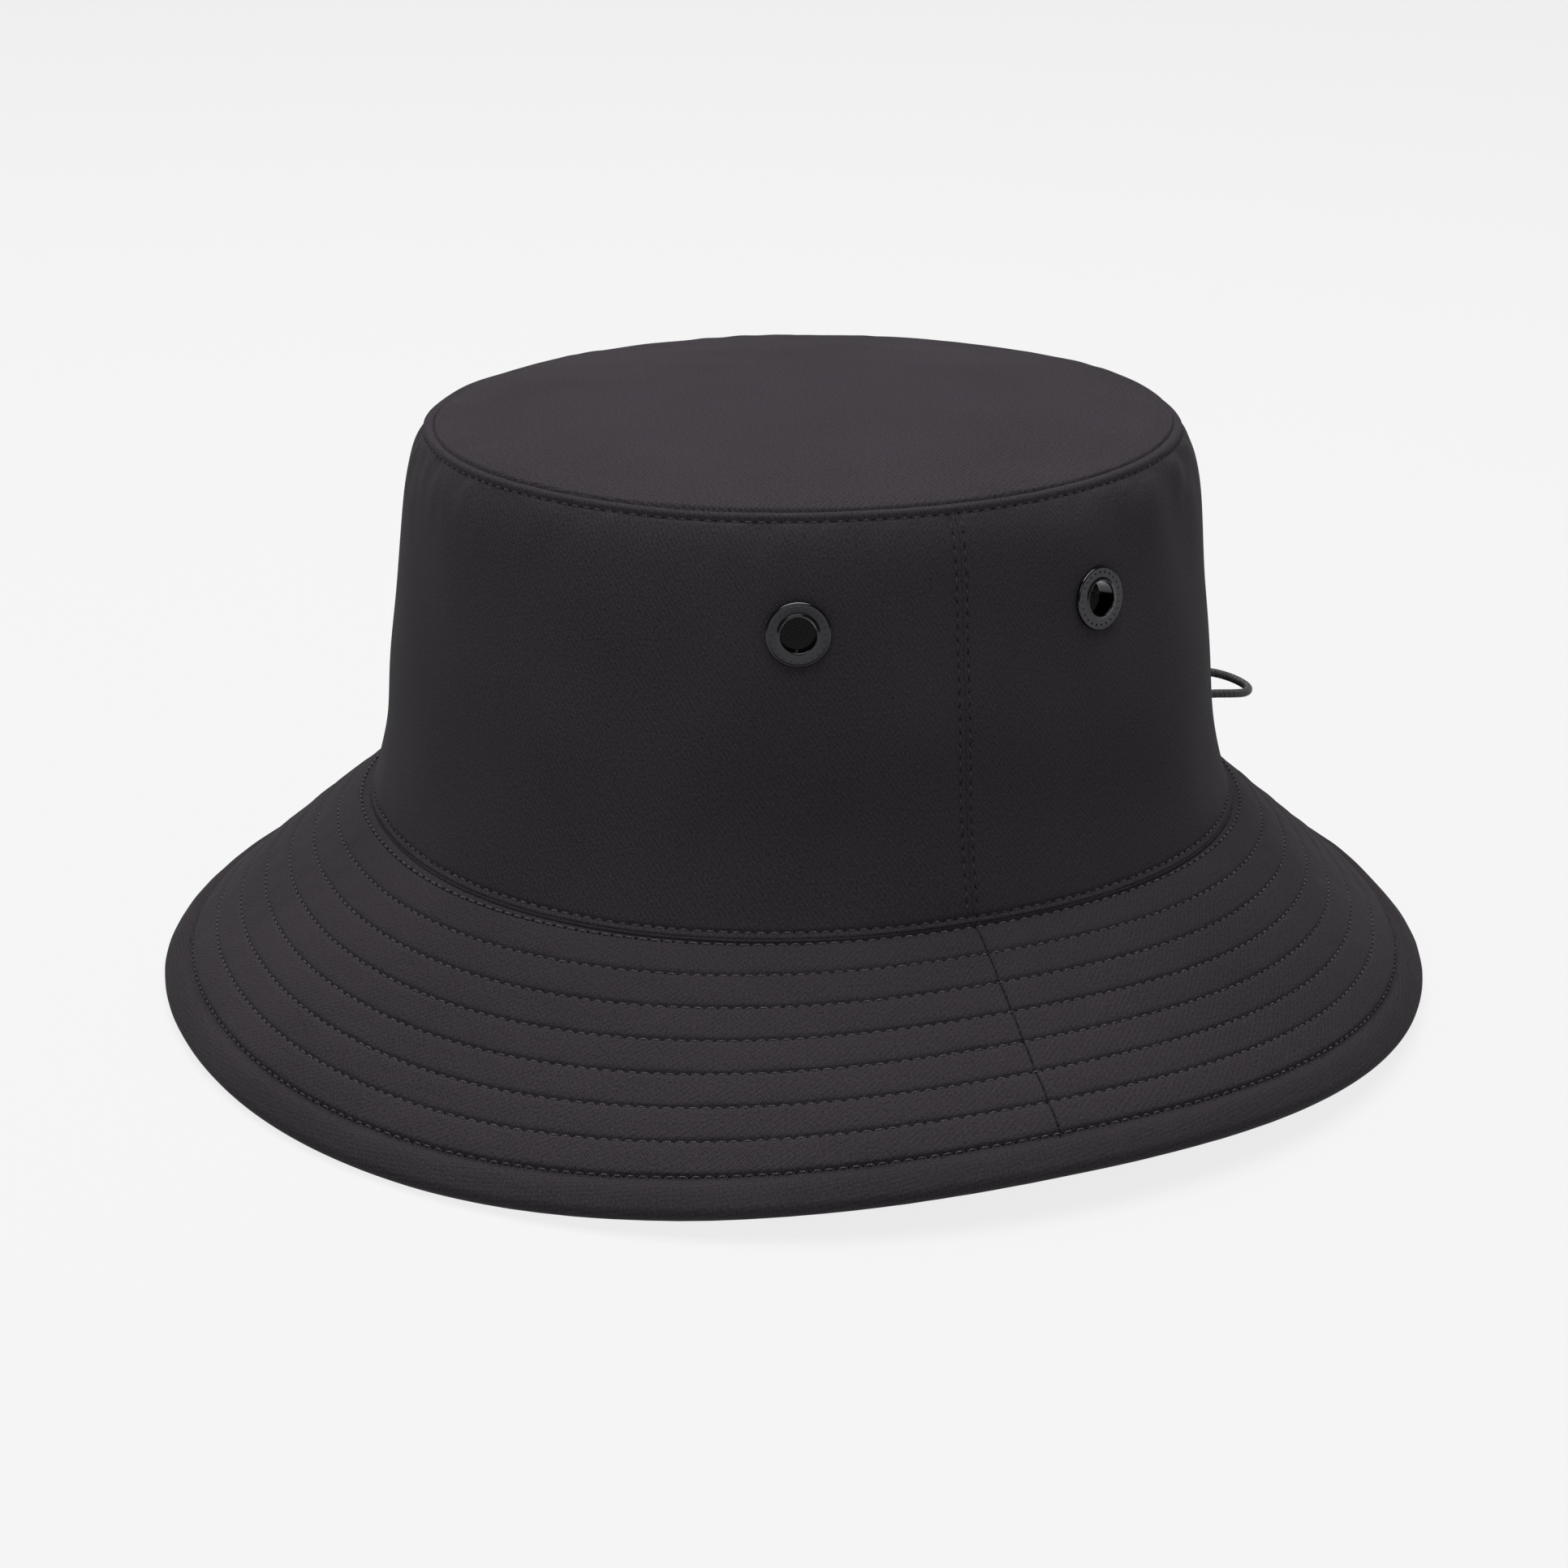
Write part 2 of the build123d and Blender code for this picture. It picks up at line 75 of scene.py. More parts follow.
# Shape numbers the boxes can't tell, as in the CAD model.
HEAD_SQUARENESS, EDGE_SQUARENESS = 2.16, 2.09
WALL_SHOULDER, SHOULDER_ROUNDNESS = 4.9, 14
WALL_WAIST, WAIST_PART, WAIST_SPREAD = 1.4, 0.2, 0.18
EDGE_DROP, EDGE_SIDE_LIFT, EDGE_WAVE, EDGE_BACK_LIFT = 37.75, 2.92, 1.17, 1.32
EDGE_FORWARD = 1.4
WALL_CLOTH = 1.0
BRIM_HALF = 1.4                             # half the thickness of the quilted brim

# Numbers of this model alone.
SAG_TURN = math.radians(-20)                # a shallow dip of the brim, front right
SAG_DEPTH, SAG_WIDTH = 1.6, 0.34
FELT_HALF = 0.25                            # half the felt inside the brim
BINDING_WIDTH, BINDING_HALF = 7.8, 2.2      # the rolled edge
CLOTH_HOLE, LINING_HOLE = 4.9, 4.6          # radius cut out round each eyelet's barrel
WALL_ROUND, BAND_ROUND = 93, 90             # mean radii that turn angles into lengths
BRIM_ROUND, EDGE_ROUND = 115, 140

ROWS = 7                                    # quilting rows inside the binding's own row
FIRST_ROW_SIDE, FIRST_ROW_FRONT = 0.3, 1.8  # from the crown to the innermost row
CROWN_ROW = 2.0                             # topstitch above the crown and brim seam
RIDGE = 1.4                                 # rolled ridge under the tip seam
TIP_ROW = 1.65                              # topstitch below the tip seam
SIDE_ROW = 1.1                              # needle rows either side of the side seam
BAND_ROW_LOW, BAND_ROW_HIGH = 2.5, BAND_TOP - 2.0
STITCH, STITCH_GAP = 2.6, 0.8               # pitch of the stitches and the gap in it

STEP = 0.75               # grid spacing on the cloth


# ------------------------------------------------------------------ shape of the hat
def superellipse(angle, half_x, half_y, exponent):
    across = np.abs(np.cos(angle) / half_x) ** exponent
    along = np.abs(np.sin(angle) / half_y) ** exponent
    return (across + along) ** (-1 / exponent)


def tip_rim(angle):
    return superellipse(angle, TIP_X, TIP_Y, 2)


def wall_radius(angle, height):
    base = superellipse(angle, HEAD_X, HEAD_Y, HEAD_SQUARENESS)
    top = tip_rim(angle)
    part = height / CROWN_HEIGHT
    shoulder = WALL_SHOULDER * part ** 2 * (1 - np.abs(part) ** SHOULDER_ROUNDNESS)
    waist = WALL_WAIST * np.exp(-((part - WAIST_PART) / WAIST_SPREAD) ** 2)
    return base + (top - base) * part + shoulder - waist


def polar(angle, radius, height):
    """Points at these angles, radii and heights."""
    angle, radius, height = np.broadcast_arrays(angle, radius, height)
    return np.stack([radius * np.cos(angle), radius * np.sin(angle), height], axis=-1)


def wall_point(angle, height, out=0.0):
    """Point on the crown wall, moved out of the hat along the wall's slope normal."""
    upper = np.minimum(height + 0.5, CROWN_HEIGHT - 1.2)
    slope = wall_radius(angle, upper) - wall_radius(angle, upper - 1)
    scale = 1 / np.sqrt(1 + slope ** 2)
    radius = wall_radius(angle, height) + out * scale
    return polar(angle, radius, SEAM + height - out * slope * scale)


def edge_height(angle):
    lift = EDGE_SIDE_LIFT * np.cos(2 * angle) + EDGE_WAVE * np.cos(4 * angle)
    sag = SAG_DEPTH * bell(np.mod(angle + SAG_TURN, 2 * math.pi) - math.pi, SAG_WIDTH)
    return SEAM - EDGE_DROP + lift + EDGE_BACK_LIFT * np.sin(angle) - sag


def brim_frame(angle):
    start = wall_radius(angle, 0.0) + 0.15
    edge = superellipse(angle, EDGE_X, EDGE_Y, EDGE_SQUARENESS) - EDGE_FORWARD * np.sin(angle)
    run = edge - start
    fall = SEAM - edge_height(angle)
    return start, np.arctan2(fall, run), np.hypot(run, fall)


def brim_point(angle, along, above):
    start, slope, _ = brim_frame(angle)
    radius = start + along * np.cos(slope) + above * np.sin(slope)
    return polar(angle, radius, SEAM - along * np.sin(slope) + above * np.cos(slope))


def brim_length(angle):
    return brim_frame(angle)[2]


def row_place(angle, row):
    """How far down the brim a quilting row runs; row ROWS is the binding's own row."""
    first = FIRST_ROW_FRONT + (FIRST_ROW_SIDE - FIRST_ROW_FRONT) * np.cos(angle) ** 2
    last = brim_length(angle) - BINDING_WIDTH - 0.9
    return first + (last - first) * row / ROWS


def seam_distance(angle, radius):
    """Distance round the hat to the nearer side seam."""
    turn = np.mod(angle + math.pi / 2, math.pi) - math.pi / 2
    return radius * turn


def bell(distance, width):
    return np.exp(-(distance / width) ** 2)


def soft_noise(points, wavelength, seed):
    """Smooth noise of about -1 to 1, the same at the same point of space."""
    waves = 9
    rng = np.random.default_rng(seed)
    total = np.zeros(points.shape[:-1])
    for _ in range(waves):
        direction = rng.normal(size=3)
        direction *= rng.uniform(0.7, 1.4) / np.linalg.norm(direction)
        phase = rng.uniform(0, 2 * math.pi)
        total += np.cos(points @ direction * (2 * math.pi / wavelength) + phase)
    return total / math.sqrt(waves * 1.6)


# ------------------------------------------------------------------ mesh helpers
def new_mesh(name, points, faces, uv=None, smooth=True):
    """Object from points in millimetres, quads or triangles, and a UV per point in metres."""
    mesh = bpy.data.meshes.new(name)
    mesh.from_pydata((np.asarray(points) * MM).tolist(), [], [list(face) for face in faces])
    if uv is not None:
        layer = mesh.uv_layers.new(name="cloth")
        corner = np.empty(len(mesh.loops), dtype=np.int32)
        mesh.loops.foreach_get("vertex_index", corner)
        layer.data.foreach_set("uv", (np.asarray(uv)[corner] * MM).ravel())
    if smooth:
        mesh.shade_smooth()
    mesh.update()
    piece = bpy.data.objects.new(name, mesh)
    bpy.context.scene.collection.objects.link(piece)
    return piece


def grid_faces(rows, columns, closed=False, first=0, flip=False):
    """Quads of a grid of points stored row by row."""
    row = np.arange(rows - 1)[:, None]
    column = np.arange(columns if closed else columns - 1)[None, :]
    following = (column + 1) % columns
    a = row * columns + column
    b = row * columns + following
    c = b + columns
    d = a + columns
    quads = np.stack([a, b, c, d], axis=-1).reshape(-1, 4) + first
    return quads[:, ::-1] if flip else quads


def rim_faces(loop_a, loop_b, closed=False):
    """Quads that join two equally long lists of point numbers."""
    count = len(loop_a) if closed else len(loop_a) - 1
    return [
        (loop_a[i], loop_a[(i + 1) % len(loop_a)], loop_b[(i + 1) % len(loop_a)], loop_b[i])
        for i in range(count)
    ]


def cloth_shell(name, outer, inner, uv, closed=False, keep=None, pole=False):
    """A layer of cloth: two grids of points, joined round their borders. A pole closes row 0."""
    rows, columns = outer.shape[:2]
    size = rows * columns
    points = np.concatenate([outer.reshape(-1, 3), inner.reshape(-1, 3)])
    front = grid_faces(rows, columns, closed)
    back = grid_faces(rows, columns, closed, first=size, flip=True)
    if keep is not None:
        kept = keep.reshape(-1)
        front = front[kept[front].all(axis=1)]
        back = back[kept[back - size].all(axis=1)]
    index = np.arange(size).reshape(rows, columns)
    faces = list(front) + list(back)
    if not pole:
        faces += rim_faces(index[0] + size, index[0], closed)
    faces += rim_faces(index[-1], index[-1] + size, closed)
    if not closed:
        faces += rim_faces(index[:, 0], index[:, 0] + size)
        faces += rim_faces(index[:, -1] + size, index[:, -1])
    uv_all = np.concatenate([uv.reshape(-1, 2), uv.reshape(-1, 2)])
    piece = new_mesh(name, points, faces, uv_all)
    if pole:
        work = bmesh.new()
        work.from_mesh(piece.data)
        bmesh.ops.remove_doubles(work, verts=work.verts, dist=0.001 * MM)
        work.to_mesh(piece.data)
        work.free()
    return piece


def spread(low, high, step, closer=()):
    """Stations from low to high, a step apart and three times closer near some places."""
    places = [low]
    while places[-1] < high:
        near = min([abs(places[-1] - place) for place in closer] + [99.0])
        places.append(places[-1] + (step / 3 if near < 2.2 else step))
    places[-1] = high
    return np.array(places)


def angles_between(first, last, radius, step=STEP):
    """Angles a step apart at this radius, closer together beside the side seams."""
    seams = [k * math.pi * radius for k in (-1, 0, 1)]
    return spread(first * radius, last * radius, step, closer=seams) / radius


def full_turn(count):
    """Angles once round the hat, without the last one that meets the first."""
    return np.linspace(-math.pi, math.pi, count + 1)[:-1]


# ------------------------------------------------------------------ where the eyelets sit
EYELETS = ["left_front", "left_back", "right_back", "right_front"]


def eyelet_frame(node):
    """Centre on the cloth and outward normal of an eyelet, from its CAD node."""
    low, high = node_box(node)
    middle = (low + high) / 2
    angle = math.atan2(middle[1], middle[0])
    height = middle[2] - SEAM
    around = wall_point(angle + 0.01, height) - wall_point(angle - 0.01, height)
    upward = wall_point(angle, height + 1) - wall_point(angle, height - 1)
    normal = np.cross(around, upward)
    normal /= np.linalg.norm(normal)
    spot = wall_point(angle, height)
    return Vector(spot), Vector(normal)


eyelet_frames = {place: eyelet_frame(f"eyelet_{place}") for place in EYELETS}


def eyelet_distance(points):
    spots = [np.array(spot) for spot, _ in eyelet_frames.values()]
    return np.min([np.linalg.norm(points - spot, axis=-1) for spot in spots], axis=0)


# ------------------------------------------------------------------ crown
def crown_relief(angle, height):
    """How far the crown's cloth stands out of its plain shape."""
    base = wall_point(angle, height)
    below_tip = CROWN_HEIGHT - height
    near = np.abs(seam_distance(angle, wall_radius(angle, height)))

    # Soft waves of the whole wall, and more of them low at the back.
    relief = 0.55 * soft_noise(base, 75, 3) + 0.16 * soft_noise(base, 26, 4)
    low_back = np.exp(-np.abs(height - 14) / 14) * np.clip(np.sin(angle), 0, 1)
    relief += 0.5 * low_back * soft_noise(base, 34, 5)
    relief *= 1 - np.exp(-np.clip(height, 0, None) / 7)

    # Side seam with a needle row pressed in on either side.
    side_seam = 0.14 * bell(near, 0.9) - 0.07 * bell(near, 0.25)
    side_seam -= 0.3 * bell(near - SIDE_ROW, 0.35)
    relief += side_seam * np.clip(below_tip / 3, 0, 1)

    # Rolled ridge under the tip seam, with the topstitch pressed in below it.
    half_ridge = RIDGE / 2
    roll = (np.abs(below_tip - half_ridge - 0.15) / (half_ridge + 0.1)) ** 2.2
    relief += 0.55 * np.sqrt(np.clip(1 - roll, 0, 1)) - 0.6 * bell(below_tip, 0.3)
    relief -= 0.28 * bell(below_tip - TIP_ROW, 0.35)

    # Gathers below the topstitch, deepest at front and back, and a few longer folds.
    under_row = np.clip(below_tip - TIP_ROW, 0, None)
    ends = 0.4 + np.abs(np.sin(angle)) ** 1.5
    gather = np.exp(-under_row / 5) * (1 - np.exp(-under_row / 1.2))
    relief += 0.6 * ends * gather * soft_noise(base * [1, 1, 0.25], 8.5, 6)
    folds = under_row / 9 * np.exp(1 - under_row / 9) * np.exp(-((angle - 0.75) / 0.45) ** 2)
    relief += 0.8 * folds * (0.4 + soft_noise(base * [1, 1, 0.3], 13, 8))
    relief = np.where(below_tip > TIP_ROW + 0.6, np.maximum(relief, -0.4), relief)

    # Turned edge at the brim seam, its topstitch, and the fullness above it.
    relief -= 0.35 * bell(height - CROWN_ROW, 0.4)
    relief += 0.45 * bell(height - 1.1, 0.6)
    fullness = np.exp(-np.clip(height - CROWN_ROW, 0, None) / 6) * (height > CROWN_ROW)
    relief += 0.14 * fullness * soft_noise(base * [1, 1, 0.3], 12, 7)

    # The eyelets pull the cloth in round their flanges.
    ring = eyelet_distance(base)
    relief -= 0.35 * np.exp(-np.clip(ring - 6.6, 0, None) / 1.6) * (ring < 14)
    return relief


def crown_half(name, first, last):
    angles = angles_between(first, last, HEAD_X)
    close = (0, 2, CROWN_HEIGHT - 2.4, CROWN_HEIGHT - 0.8)
    heights = spread(-1.0, CROWN_HEIGHT, STEP * 1.25, closer=close)
    height, angle = np.meshgrid(heights, angles, indexing="ij")
    relief = crown_relief(angle, height)
    outer = wall_point(angle, height, relief)
    inner = wall_point(angle, height, np.minimum(relief, 0.2) - WALL_CLOTH)
    uv = np.stack([angle * (HEAD_X + HEAD_Y) / 2, height], axis=-1)
    open_hole = eyelet_distance(wall_point(angle, height)) > CLOTH_HOLE
    return cloth_shell(name, outer, inner, uv, keep=open_hole)


# ------------------------------------------------------------------ brim
# Grid lines across one channel, as parts of its width.
CHANNEL_STEPS = [0, 0.03, 0.06, 0.1, 0.16, 0.26, 0.38, 0.5, 0.62, 0.74, 0.84, 0.9, 0.94, 0.97]


def quilt(angle, along, puff):
    """Puffed channels between the rows, with a crease along each row."""
    base = brim_point(angle, along, 0.0)
    first = row_place(angle, 0)
    last = row_place(angle, ROWS)
    place = (along - first) / (last - first) * ROWS
    part = np.mod(place, 1.0)
    pitch = (last - first) / ROWS
    to_row = np.minimum(part, 1 - part) * pitch
    inside = (along > first) & (along < last + 0.2)
    beyond = np.abs(np.where(along < first, along - first, along - last))
    to_row = np.where(inside, to_row, beyond)
    arch = 1 - np.exp(-(to_row / 1.5) ** 1.15)
    relief = puff * arch - 0.42 * bell(to_row, 0.45)
    around = np.arctan2(base[..., 1], base[..., 0]) * BRIM_ROUND
    pull = np.exp(-to_row / 1.6)
    relief += 0.05 * pull * np.cos(2 * math.pi * around / STITCH + 5 * np.floor(place))
    relief += 0.12 * arch * soft_noise(base, 11, 11) + 0.3 * soft_noise(base, 70, 12)
    return relief


def brim_relief(angle, along):
    relief = quilt(angle, along, 0.3) * (1 - np.exp(-np.maximum(along, 0) / 3))
    relief -= 1.5 * np.exp(-np.maximum(along, -0.3) / 1.1)
    side = seam_distance(angle, wall_radius(angle, 0.0) + along * 0.75)
    relief += 0.07 * bell(np.abs(side) - 0.9, 0.6) - 0.3 * bell(side, 0.28)
    end = brim_length(angle) - BINDING_WIDTH
    relief -= 0.8 * bell(along - end, 0.7)
    return relief


def brim_half(name, first, last, under):
    angles = angles_between(first, last, BRIM_ROUND)
    start, end = row_place(angles, 0), row_place(angles, ROWS)
    stop = brim_length(angles) - BINDING_WIDTH + 1.2
    before = [-0.6 + (start + 0.6) * t for t in (0, 0.2, 0.35, 0.5, 0.65, 0.8, 0.92)]
    inside = [
        start + (end - start) * (row + t) / ROWS for row in range(ROWS) for t in CHANNEL_STEPS
    ]
    after = [end + (stop - end) * t for t in (0, 0.12, 0.25, 0.4, 0.6, 0.8, 1)]
    along = np.array(before + inside + after)
    angle = np.broadcast_to(angles, along.shape)
    relief = brim_relief(angle, along)
    face = BRIM_HALF + (0.8 * relief if under else relief)
    side = -1 if under else 1
    outer = brim_point(angle, along, side * face)
    inner = brim_point(angle, along, side * np.minimum(0.55, face - 0.4))
    uv = np.stack([angle * BRIM_ROUND, along], axis=-1)
    if under:
        outer, inner, uv = outer[:, ::-1], inner[:, ::-1], uv[:, ::-1]
    return cloth_shell(name, outer[::-1], inner[::-1], uv[::-1])


def brim_filling(name, first, last):
    """The stiff felt between the two cloths of the brim, kept just inside them."""
    angles = angles_between(first, last, BRIM_ROUND, step=2.5)
    stop = brim_length(angles) - BINDING_WIDTH + 3
    along = 1 + (stop - 1) * np.linspace(0, 1, 16)[:, None]
    angle = np.broadcast_to(angles, along.shape)
    outer, inner = brim_point(angle, along, FELT_HALF), brim_point(angle, along, -FELT_HALF)
    uv = np.stack([angle * BRIM_ROUND, along], axis=-1)
    return cloth_shell(name, outer[::-1], inner[::-1], uv[::-1])


def binding():
    """The rolled edge, a closed section carried all round the brim."""
    angles = angles_between(-math.pi, math.pi, EDGE_ROUND)[:-1]
    inside = BINDING_WIDTH - BINDING_HALF
    turn = np.linspace(math.pi / 2, -math.pi / 2, 15)
    flat = np.linspace(0, inside, 16)[:-1]
    flat_above = np.full(15, BINDING_HALF)
    along = np.concatenate([flat, inside + BINDING_HALF * np.cos(turn), flat[::-1]])
    above = np.concatenate([flat_above, BINDING_HALF * np.sin(turn), -flat_above])
    rise = 1 - 0.66 * np.exp(-along / 0.8) + 0.12 * np.sin(math.pi * np.clip(along / inside, 0, 1))
    above = above * rise
    along_grid, angle = np.meshgrid(along, angles, indexing="ij")
    above_grid = np.repeat(above[:, None], len(angles), axis=1)
    start = brim_length(angle) - BINDING_WIDTH
    base = brim_point(angle, start + along_grid, above_grid)
    ripple = 0.16 * np.exp(-along_grid / 5) * soft_noise(base, 7, 21)
    ripple += 0.1 * soft_noise(base, 30, 22)
    ripple += 0.3 * soft_noise(brim_point(angle, start, 0.0), 70, 12) * np.sign(above_grid)
    points = brim_point(angle, start + along_grid, above_grid + ripple * np.sign(above_grid))
    fold = brim_length(angles) - BINDING_WIDTH
    fold_upper, fold_lower = brim_point(angles, fold, 0.62), brim_point(angles, fold, -0.62)
    grid = np.concatenate([fold_upper[None], points, fold_lower[None]])
    rows, columns = grid.shape[:2]
    index = np.arange(rows * columns).reshape(rows, columns)
    faces = list(grid_faces(rows, columns, closed=True, flip=True))
    faces += rim_faces(index[0], index[-1], closed=True)
    run = np.concatenate([[0], np.cumsum(np.linalg.norm(np.diff(grid[:, 0], axis=0), axis=1))])
    across, around = np.meshgrid(run, angles * EDGE_ROUND, indexing="ij")
    uv = np.stack([around, across], axis=-1).reshape(-1, 2)
    return new_mesh("rolled_brim_edge", grid.reshape(-1, 3), faces, uv)


# ------------------------------------------------------------------ tip
def tip_height(share):
    """Middle of the tip's dome; its edge turns down into the seam."""
    return TIP_TOP - (TIP_TOP - SEAM - CROWN_HEIGHT - 0.3) * share ** 2.4


# Distances of the last rings from the rim, in millimetres.
TIP_BORDER = [6, 4.5, 3.3, 2.4, 1.8, 1.3, 0.95, 0.7, 0.5, 0.35, 0.2, 0.1, 0]


def tip_panel():
    shares = np.linspace(0, 0.92, 90)
    shares = np.concatenate([shares, 1 - np.array(TIP_BORDER) / TIP_Y])
    share, angle = np.meshgrid(shares, full_turn(720), indexing="ij")
    rim = tip_rim(angle)
    from_rim = (1 - share) * rim
    flat = polar(angle, rim * share, np.zeros_like(share))
    relief = 0.35 * soft_noise(flat, 60, 31) + 0.1 * soft_noise(flat, 22, 32)
    relief += 0.3 * np.exp(-from_rim / 5) * (1 - np.exp(-from_rim / 1.5)) * soft_noise(flat, 8, 33)
    relief = (relief + 0.3) * np.clip(from_rim / 4, 0.1, 1)
    relief -= 0.9 * bell(from_rim, 0.4)
    outer = polar(angle, rim * share, tip_height(share) + relief)
    inner = outer - [0, 0, WALL_CLOTH]
    return cloth_shell("tip_cloth", outer, inner, flat[..., :2], closed=True, pole=True)


def under_tip(name, inset_x, inset_y, drop, thick, sag=0.0):
    """A layer under the tip cloth: this far in from its rim and below its middle."""
    share, angle = np.meshgrid(np.linspace(0, 1, 40), full_turn(180), indexing="ij")
    rim = superellipse(angle, TIP_X - inset_x, TIP_Y - inset_y, 2)
    flat = polar(angle, rim * share, np.zeros_like(share))
    height = tip_height(share * rim / tip_rim(angle)) - drop
    height = height - sag * np.abs(soft_noise(flat, 30, 52))
    outer = polar(angle, rim * share, height)
    return cloth_shell(name, outer, outer - [0, 0, thick], flat[..., :2], closed=True, pole=True)


# ------------------------------------------------------------------ thread
def unit(vectors):
    return vectors / np.linalg.norm(vectors, axis=-1, keepdims=True)


def stitch_mesh(name, starts, ends, normals, thickness=0.2, sink=0.1):
    """Short bent threads from start to end, each dipping into the cloth at both ends."""
    around, along = 6, 5
    middle = (starts + ends) / 2
    tangent = ends - starts
    length = np.linalg.norm(tangent, axis=-1, keepdims=True)
    tangent = tangent / length
    across = unit(np.cross(normals, tangent))
    upward = np.cross(tangent, across)
    points = []
    for i in range(along):
        t = -1 + 2 * i / (along - 1)
        lift = thickness * (1 - 2.2 * t ** 4) - sink
        fat = thickness * (1 - 0.55 * t ** 4)
        centre = middle + tangent * (t * length / 2) + upward * lift
        for k in range(around):
            turn = 2 * math.pi * k / around
            circle = across * math.cos(turn) + upward * 0.8 * math.sin(turn)
            points.append(centre + circle * fat)
    block = np.stack(points, axis=1)
    per = around * along
    template = grid_faces(along, around, closed=True)
    faces = (template[None] + (np.arange(len(starts)) * per)[:, None, None]).reshape(-1, 4)
    lids = [range(around)[::-1], range(per - around, per)]
    caps = [tuple(v + n * per for v in lid) for n in range(len(starts)) for lid in lids]
    return new_mesh(name, block.reshape(-1, 3), list(faces) + caps)


def wall_spot(angle, height):
    """Points on the crown's cloth and their normals."""
    relief = crown_relief(angle, height)
    spot = wall_point(angle, height, relief)
    return spot, unit(wall_point(angle, height, relief + 1) - spot)


def brim_spot(angle, along, under=False):
    """Points on the brim's upper or under cloth and their normals."""
    sign, depth = (-1, 0.8) if under else (1, 1.0)
    above = BRIM_HALF + depth * brim_relief(angle, along)
    spot = brim_point(angle, along, sign * above)
    return spot, unit(brim_point(angle, along, sign * (above + 1)) - spot)


def row_between(place, first, last):
    """Starts, ends and normals of stitches; place() gives points and normals."""
    starts, normals = place(first)
    return starts, place(last)[0], normals


def row_of_stitches(place, seed):
    """A stitch row once round the hat; place(angle) gives points and normals."""
    dense = np.linspace(-math.pi, math.pi, 1600)
    spots, _ = place(dense)
    run = np.concatenate([[0], np.cumsum(np.linalg.norm(np.diff(spots, axis=0), axis=1))])
    count = max(2, int(run[-1] / STITCH))
    rng = np.random.default_rng(seed)
    begin = (np.arange(count) + 0.1) * run[-1] / count + rng.uniform(-0.12, 0.12, count)
    end = begin + STITCH - STITCH_GAP + rng.uniform(-0.1, 0.1, count)
    return row_between(place, np.interp(begin, run, dense), np.interp(end, run, dense))


def brim_row(row, under):
    return lambda angle: brim_spot(angle, row_place(angle, row), under)


def crown_row(height):
    return lambda angle: wall_spot(angle, np.full_like(angle, height))


def round_rows():
    """Every stitch row that runs round the hat's outside, by piece name."""
    rows = range(ROWS + 1)
    return {
        "brim_stitches_top": [row_of_stitches(brim_row(row, False), row) for row in rows],
        "brim_stitches_under": [row_of_stitches(brim_row(row, True), 20 + row) for row in rows],
        "crown_stitches": [
            row_of_stitches(crown_row(CROWN_ROW), 41),
            row_of_stitches(crown_row(CROWN_HEIGHT - TIP_ROW), 42),
        ],
    }


def upright_row(angle, offset, seed):
    """Stitches beside a side seam of the crown."""
    low, high = CROWN_ROW + 0.8, CROWN_HEIGHT - TIP_ROW - 0.5
    count = int((high - low) / STITCH)
    rng = np.random.default_rng(seed)
    begin = low + (np.arange(count) + 0.1) * (high - low) / count + rng.uniform(-0.1, 0.1, count)

    def place(height):
        return wall_spot(angle + offset / wall_radius(angle, height), height)
    return row_between(place, begin, begin + STITCH - STITCH_GAP)


def downward_row(angle):
    """The brim's side seam shows as short dark stitches across the channels."""
    length = float(brim_length(np.array(angle))) - BINDING_WIDTH
    begin = np.arange(0.6, length - 1.5, 2.1)

    def place(along):
        return brim_spot(np.full_like(along, angle), along)
    return row_between(place, begin, begin + 1.45)


def gather_rows(rows):
    return [np.concatenate([row[i] for row in rows]) for i in range(3)]


def between(rows):
    """Black dashes from one stitch to the next, painted shade of the needle holes between them."""
    return [(row[1][:-1], row[0][1:], row[2][1:]) for row in rows]


# ------------------------------------------------------------------ inside
def lining_wall(name, first, last):
    angles = angles_between(first, last, HEAD_X, 2.2)
    heights = np.linspace(1, CROWN_HEIGHT - 0.4, 44)
    height, angle = np.meshgrid(heights, angles, indexing="ij")
    sag = 0.35 * soft_noise(wall_point(angle, height), 24, 51)
    outer = wall_point(angle, height, -1.25 - np.abs(sag) * 0.5)
    inner = wall_point(angle, height, -1.6 - np.abs(sag) * 0.5)
    uv = np.stack([angle * WALL_ROUND, height], axis=-1)
    open_hole = eyelet_distance(wall_point(angle, height)) > LINING_HOLE
    return cloth_shell(name, outer, inner, uv, keep=open_hole)


def band_offset(angle):
    """The sweatband stands further in at the back, where the cord runs behind it."""
    share = 1 - (1 - np.clip(np.sin(angle), 0, 1)) ** 6
    return 2.2 + 3.0 * share


def band_puff(base, height):
    """How far the sweatband bulges into the hat."""
    arch = np.sin(math.pi * (height - 0.3) / (BAND_TOP - 0.3))
    return 0.25 * soft_noise(base, 18, 61) + 0.35 * arch


